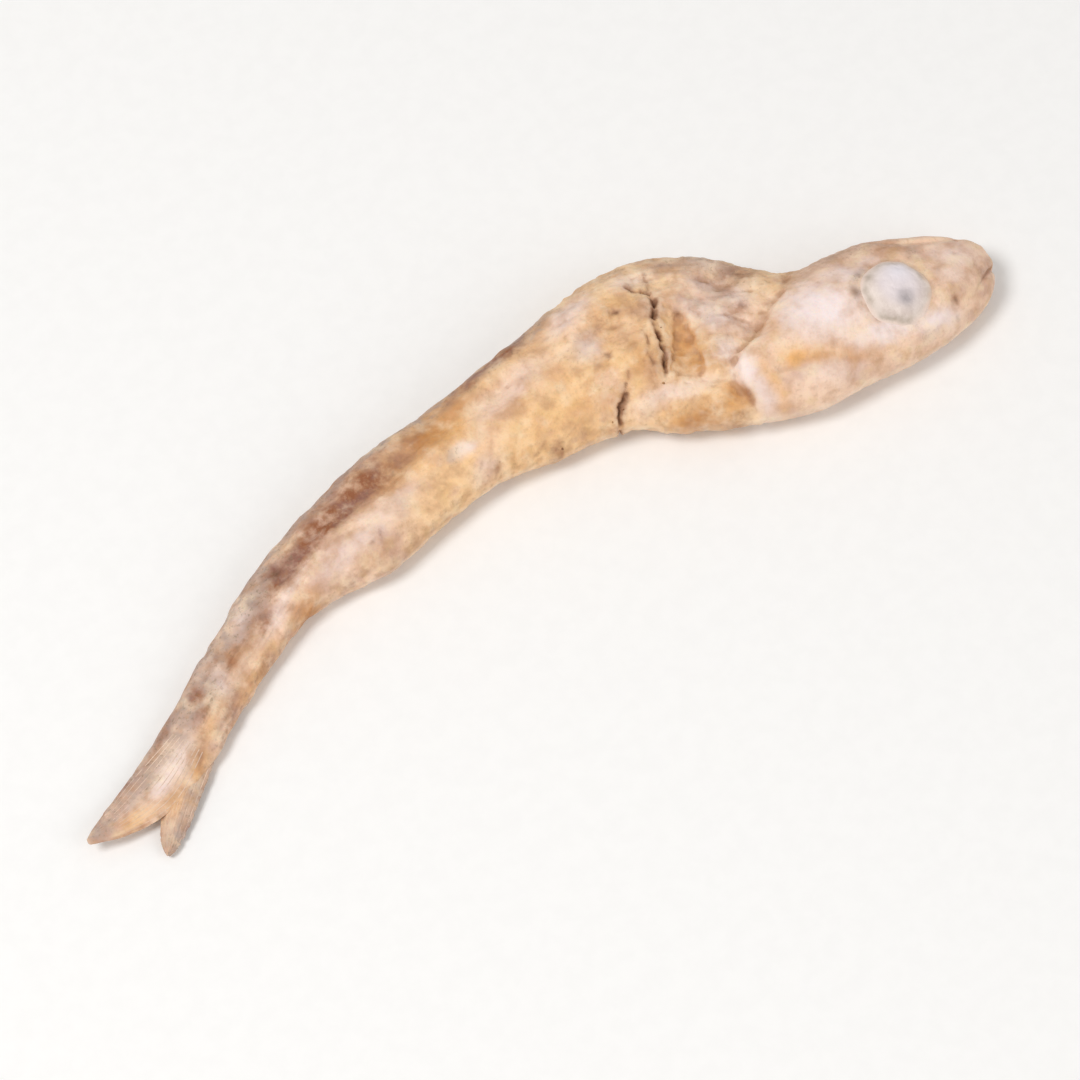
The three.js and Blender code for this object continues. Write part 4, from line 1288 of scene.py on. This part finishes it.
def eye_finish():
    eye = Finish("clouded_eye_finish", 0.3, Specular_IOR_Level=0.5, Coat_Roughness=0.2)
    cloud, grain = eye.grain(1.0, 4, 0.6), eye.grain(0.35, 3)
    colour = eye.mix(cloud.between(0.38, 0.62), MEMBRANE, DULL_MEMBRANE)
    colour = eye.mix(eye.mask("lens").broken(cloud, 0.5, 0.6), colour, LENS_GREY)
    # painted highlight on the lens
    colour = eye.mix(eye.mask("painted_glint") * 0.8, colour, GLINT_WHITE)
    colour = eye.mix(eye.mask("pupil").broken(cloud, 0.5, 0.8), colour, PUPIL_GREY)
    # darker grey-mauve arc low in the eye
    colour = eye.mix(eye.mask("lower_arc").broken(cloud, 0.3, 0.8) * 0.4, colour, LOWER_ARC_MAUVE)
    colour = eye.mix(eye.mask("ring").broken(grain, 0.4, 0.8) * 0.85, colour, RING_GREY)
    edge = eye.mix(eye.mask("warm"), RIM_CREAM, RIM_TAN)
    colour = eye.mix(eye.mask("rim").broken(cloud, 0.5, 0.9), colour, edge)
    eye.put(eye.surface.inputs["Coat Weight"], eye.mask("lens") * 0.08)
    return eye.finish(colour, 0.42 + 0.3 * cloud, cloud * 0.6 + grain * 0.4, 0.14)


eye_points, eye_masks = eye_grid()
eye = new_object("eye", grid_mesh("eye", eye_points, eye_masks), eye_finish())
print("eye top, mm:", eye_points[..., 2].max().round(2))

# %% [markdown]
# ## Crumbs of dark flesh
# Small dry crumbs lie by the cracks and on the belly side. Points are scattered
# on the skin where a mask allows, and at each a lumpy closed body is laid
# along the surface.

# %% Where crumbs may be
CRUMB_SPOTS = [(11.6, -2.3, 0.9), (6.0, -1.0, 0.7)]  # x, y, reach
BY_CRACK, CRACK_REACH = 0.25, 0.5


def room_for_crumbs(points):
    x, y = points[..., 0], points[..., 1]
    near = [BY_CRACK * bell(line_distance(line, x, y) / CRACK_REACH) for line in (LONG_CRACK, FLAP_CRACK)]
    near += [bell(np.hypot(x - cx, y - cy) / size) for cx, cy, size in CRUMB_SPOTS]
    return np.maximum.reduce(near) * ring_over


crumb_room = room_for_crumbs(rings)
attribute = skin_mesh.attributes.new("crumbs", "FLOAT", "POINT")
attribute.data.foreach_set("value", np.r_[np.ravel(crumb_room), 0, 0].astype(np.float32))
print("share of the skin with room for crumbs:", crumb_room.mean().round(4))

# %% The tree that lays them
FLAT = 0.5  # height of a crumb as a share of its length
CRUMB_SHAPE, LUMP_SHAPE = (1.0, 0.8, FLAT), (0.9, 0.9, FLAT)
TILT, WHOLE_TURN = 0.04, 6.283  # radians


def crumb_recipe(material):
    """Small closed bodies on the skin where its crumbs mask allows."""
    bits = Recipe(
        "dark_crumbs", Density=900000.0, Apart=0.35 * MM, Smallest=0.12 * MM, Largest=0.42 * MM,
        Curl=0.2, Lumps=2.5, Seed=9,
    )

    def vectors(operation, *values, output=0):
        return bits.node("ShaderNodeVectorMath", {"operation": operation}, dict(enumerate(values)), output)

    seed = bits.read("Seed")
    allowed = bits.node("GeometryNodeInputNamedAttribute", {"data_type": "FLOAT"}, {"Name": "crumbs"})
    sockets = {
        "Mesh": bits.read("Geometry"), "Distance Min": bits.read("Apart"), "Seed": seed,
        "Density Max": bits.read("Density"), "Density Factor": allowed,
    }
    spread = {"distribute_method": "POISSON"}
    points = bits.node("GeometryNodeDistributePointsOnFaces", spread, sockets)
    upright = Value(bits, points.socket.node.outputs["Rotation"])
    ball = bits.node("GeometryNodeMeshIcoSphere", {}, {"Radius": 0.5, "Subdivisions": 2})
    place = bits.node("GeometryNodeInputPosition")
    squashed = vectors("MULTIPLY", place, CRUMB_SHAPE)
    length = vectors("DOT_PRODUCT", squashed, squashed, output="Value")
    bend = bits.node("ShaderNodeCombineXYZ", {}, {"Z": length * bits.read("Curl")})
    sockets = {"Vector": place, "Scale": bits.read("Lumps")}
    lumps = bits.node("ShaderNodeTexNoise", {}, sockets, "Color")
    centred = vectors("SUBTRACT", lumps, (0.5, 0.5, 0.5))
    uneven = vectors("MULTIPLY_ADD", centred, LUMP_SHAPE, vectors("ADD", squashed, bend))
    body = bits.node("GeometryNodeSetPosition", {}, {"Geometry": ball, "Position": uneven})
    sockets = {2: bits.read("Smallest"), 3: bits.read("Largest"), 8: seed}
    size = bits.node("FunctionNodeRandomValue", {"data_type": "FLOAT"}, sockets, 1)
    sockets = {0: (-TILT, -TILT, 0.0), 1: (TILT, TILT, WHOLE_TURN), 8: seed}
    spin = bits.node("FunctionNodeRandomValue", {"data_type": "FLOAT_VECTOR"}, sockets)
    laid = {"Points": points, "Instance": body, "Rotation": upright, "Scale": size}
    copies = bits.node("GeometryNodeInstanceOnPoints", {}, laid)
    sockets = {"Instances": copies, "Rotation": spin}
    bits.serve(bits.node("GeometryNodeRotateInstances", {}, sockets), material)
    return bits


CRUMB_BROWN, CRUMB_TAN = plain_colour(140, 96, 60), plain_colour(196, 146, 96)


def crumb_finish():
    crumb = Finish("crumb_finish", 0.7)
    tint, grain = crumb.grain(0.9, 3), crumb.grain(0.2, 2)
    colour = crumb.mix(tint.between(0.4, 0.6), CRUMB_BROWN, CRUMB_TAN)
    colour = crumb.mix(grain.between(0.5, 0.7) * 0.4, colour, OLIVE)
    return crumb.finish(colour, 0.55 + 0.3 * grain, grain, 0.05)


crumbs = crumb_recipe(crumb_finish()).grow("crumbs", skin)
print("faces in the crumbs:", len(crumbs.data.polygons))

# %% [markdown]
# ## Hanging the pieces on the frame
# The fish is one body. The skin stands for the solid, and everything else
# rides with it.

# %% Ride and replace
fish_pieces = [skin, lower_lobe, fin_rays, eye, crumbs]
for piece in fish_pieces:
    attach(piece, BODY)
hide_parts(SOLID)
print("pieces:", [piece.name for piece in fish_pieces])

# %% [markdown]
# ## Floor, light and camera
# A plain pale floor runs past the picture's edges. One large soft light hangs
# over the fish, a weaker one fills from the front, and an even pale
# surrounding keeps the shadows light. The camera looks down at 60 degrees from
# the belly side through a long lens, so the fish keeps its true proportions.

# %% Floor
FLOOR_HALF, FLOOR_CELLS = 1.2, 24  # half a side in m, cells along a side


def floor_mesh():
    step = 2 * FLOOR_HALF / FLOOR_CELLS
    side = FLOOR_CELLS + 1
    points = [(-FLOOR_HALF + i * step, -FLOOR_HALF + j * step, 0) for j in range(side) for i in range(side)]
    faces = [(j * side + i, j * side + i + 1, (j + 1) * side + i + 1, (j + 1) * side + i)
             for j in range(FLOOR_CELLS) for i in range(FLOOR_CELLS)]
    mesh = bpy.data.meshes.new("floor")
    mesh.from_pydata(points, [], faces)
    return mesh


PAPER = plain_colour(250, 249, 247), plain_colour(248, 247, 245)


def floor_finish():
    paper = Finish("floor_finish", 0.9)
    grain = paper.grain(2.0, 3)
    colour = paper.mix(grain.between(0.3, 0.7), *PAPER)
    return paper.finish(colour, 0.85 + 0.1 * grain, grain, 0.01)


floor = new_object("floor", floor_mesh(), floor_finish())
print("floor side, m:", 2 * FLOOR_HALF)

# %% Light
KEY = (-0.34, 0.02, 0.58), 0.26, 2.2  # place in m, size in m, watts
FILL = (0.30, -0.55, 0.45), 0.6, 1.15
AROUND, AROUND_STRENGTH = (1.0, 0.99, 0.985, 1.0), 0.5


def soft_light(name, place, size, watts):
    lamp = bpy.data.lights.new(name, "AREA")
    lamp.shape, lamp.size, lamp.energy = "DISK", size, watts
    light = bpy.data.objects.new(name, lamp)
    bpy.context.scene.collection.objects.link(light)
    light.location = place
    light.rotation_euler = (-Vector(place)).to_track_quat("-Z", "Y").to_euler()
    return light


soft_light("key_light", *KEY)
soft_light("fill_light", *FILL)
world = bpy.data.worlds.new("studio")
world.use_nodes = True
background = world.node_tree.nodes["Background"]
background.inputs["Color"].default_value = AROUND
background.inputs["Strength"].default_value = AROUND_STRENGTH
bpy.context.scene.world = world
bpy.context.scene.view_settings.view_transform = "Standard"

# %% Camera
AZIMUTH, ELEVATION = math.radians(-34.494), math.radians(60)
DISTANCE, LENS_LENGTH, NEAREST = 0.437, 160, 0.01  # m, mm, m
AIM = Vector(to_frame((-0.38, -7.74, 3.5)))


def aim_camera():
    level = math.cos(ELEVATION)
    back = Vector((math.sin(AZIMUTH) * level, -math.cos(AZIMUTH) * level, math.sin(ELEVATION)))
    camera = bpy.data.objects.new("camera", bpy.data.cameras.new("camera"))
    camera.data.lens = LENS_LENGTH
    camera.data.clip_start = NEAREST
    camera.location = AIM + back * DISTANCE
    camera.rotation_euler = back.to_track_quat("Z", "Y").to_euler()
    bpy.context.scene.collection.objects.link(camera)
    bpy.context.scene.camera = camera
    return camera


camera = aim_camera()
print("camera at", [round(v, 3) for v in camera.location])
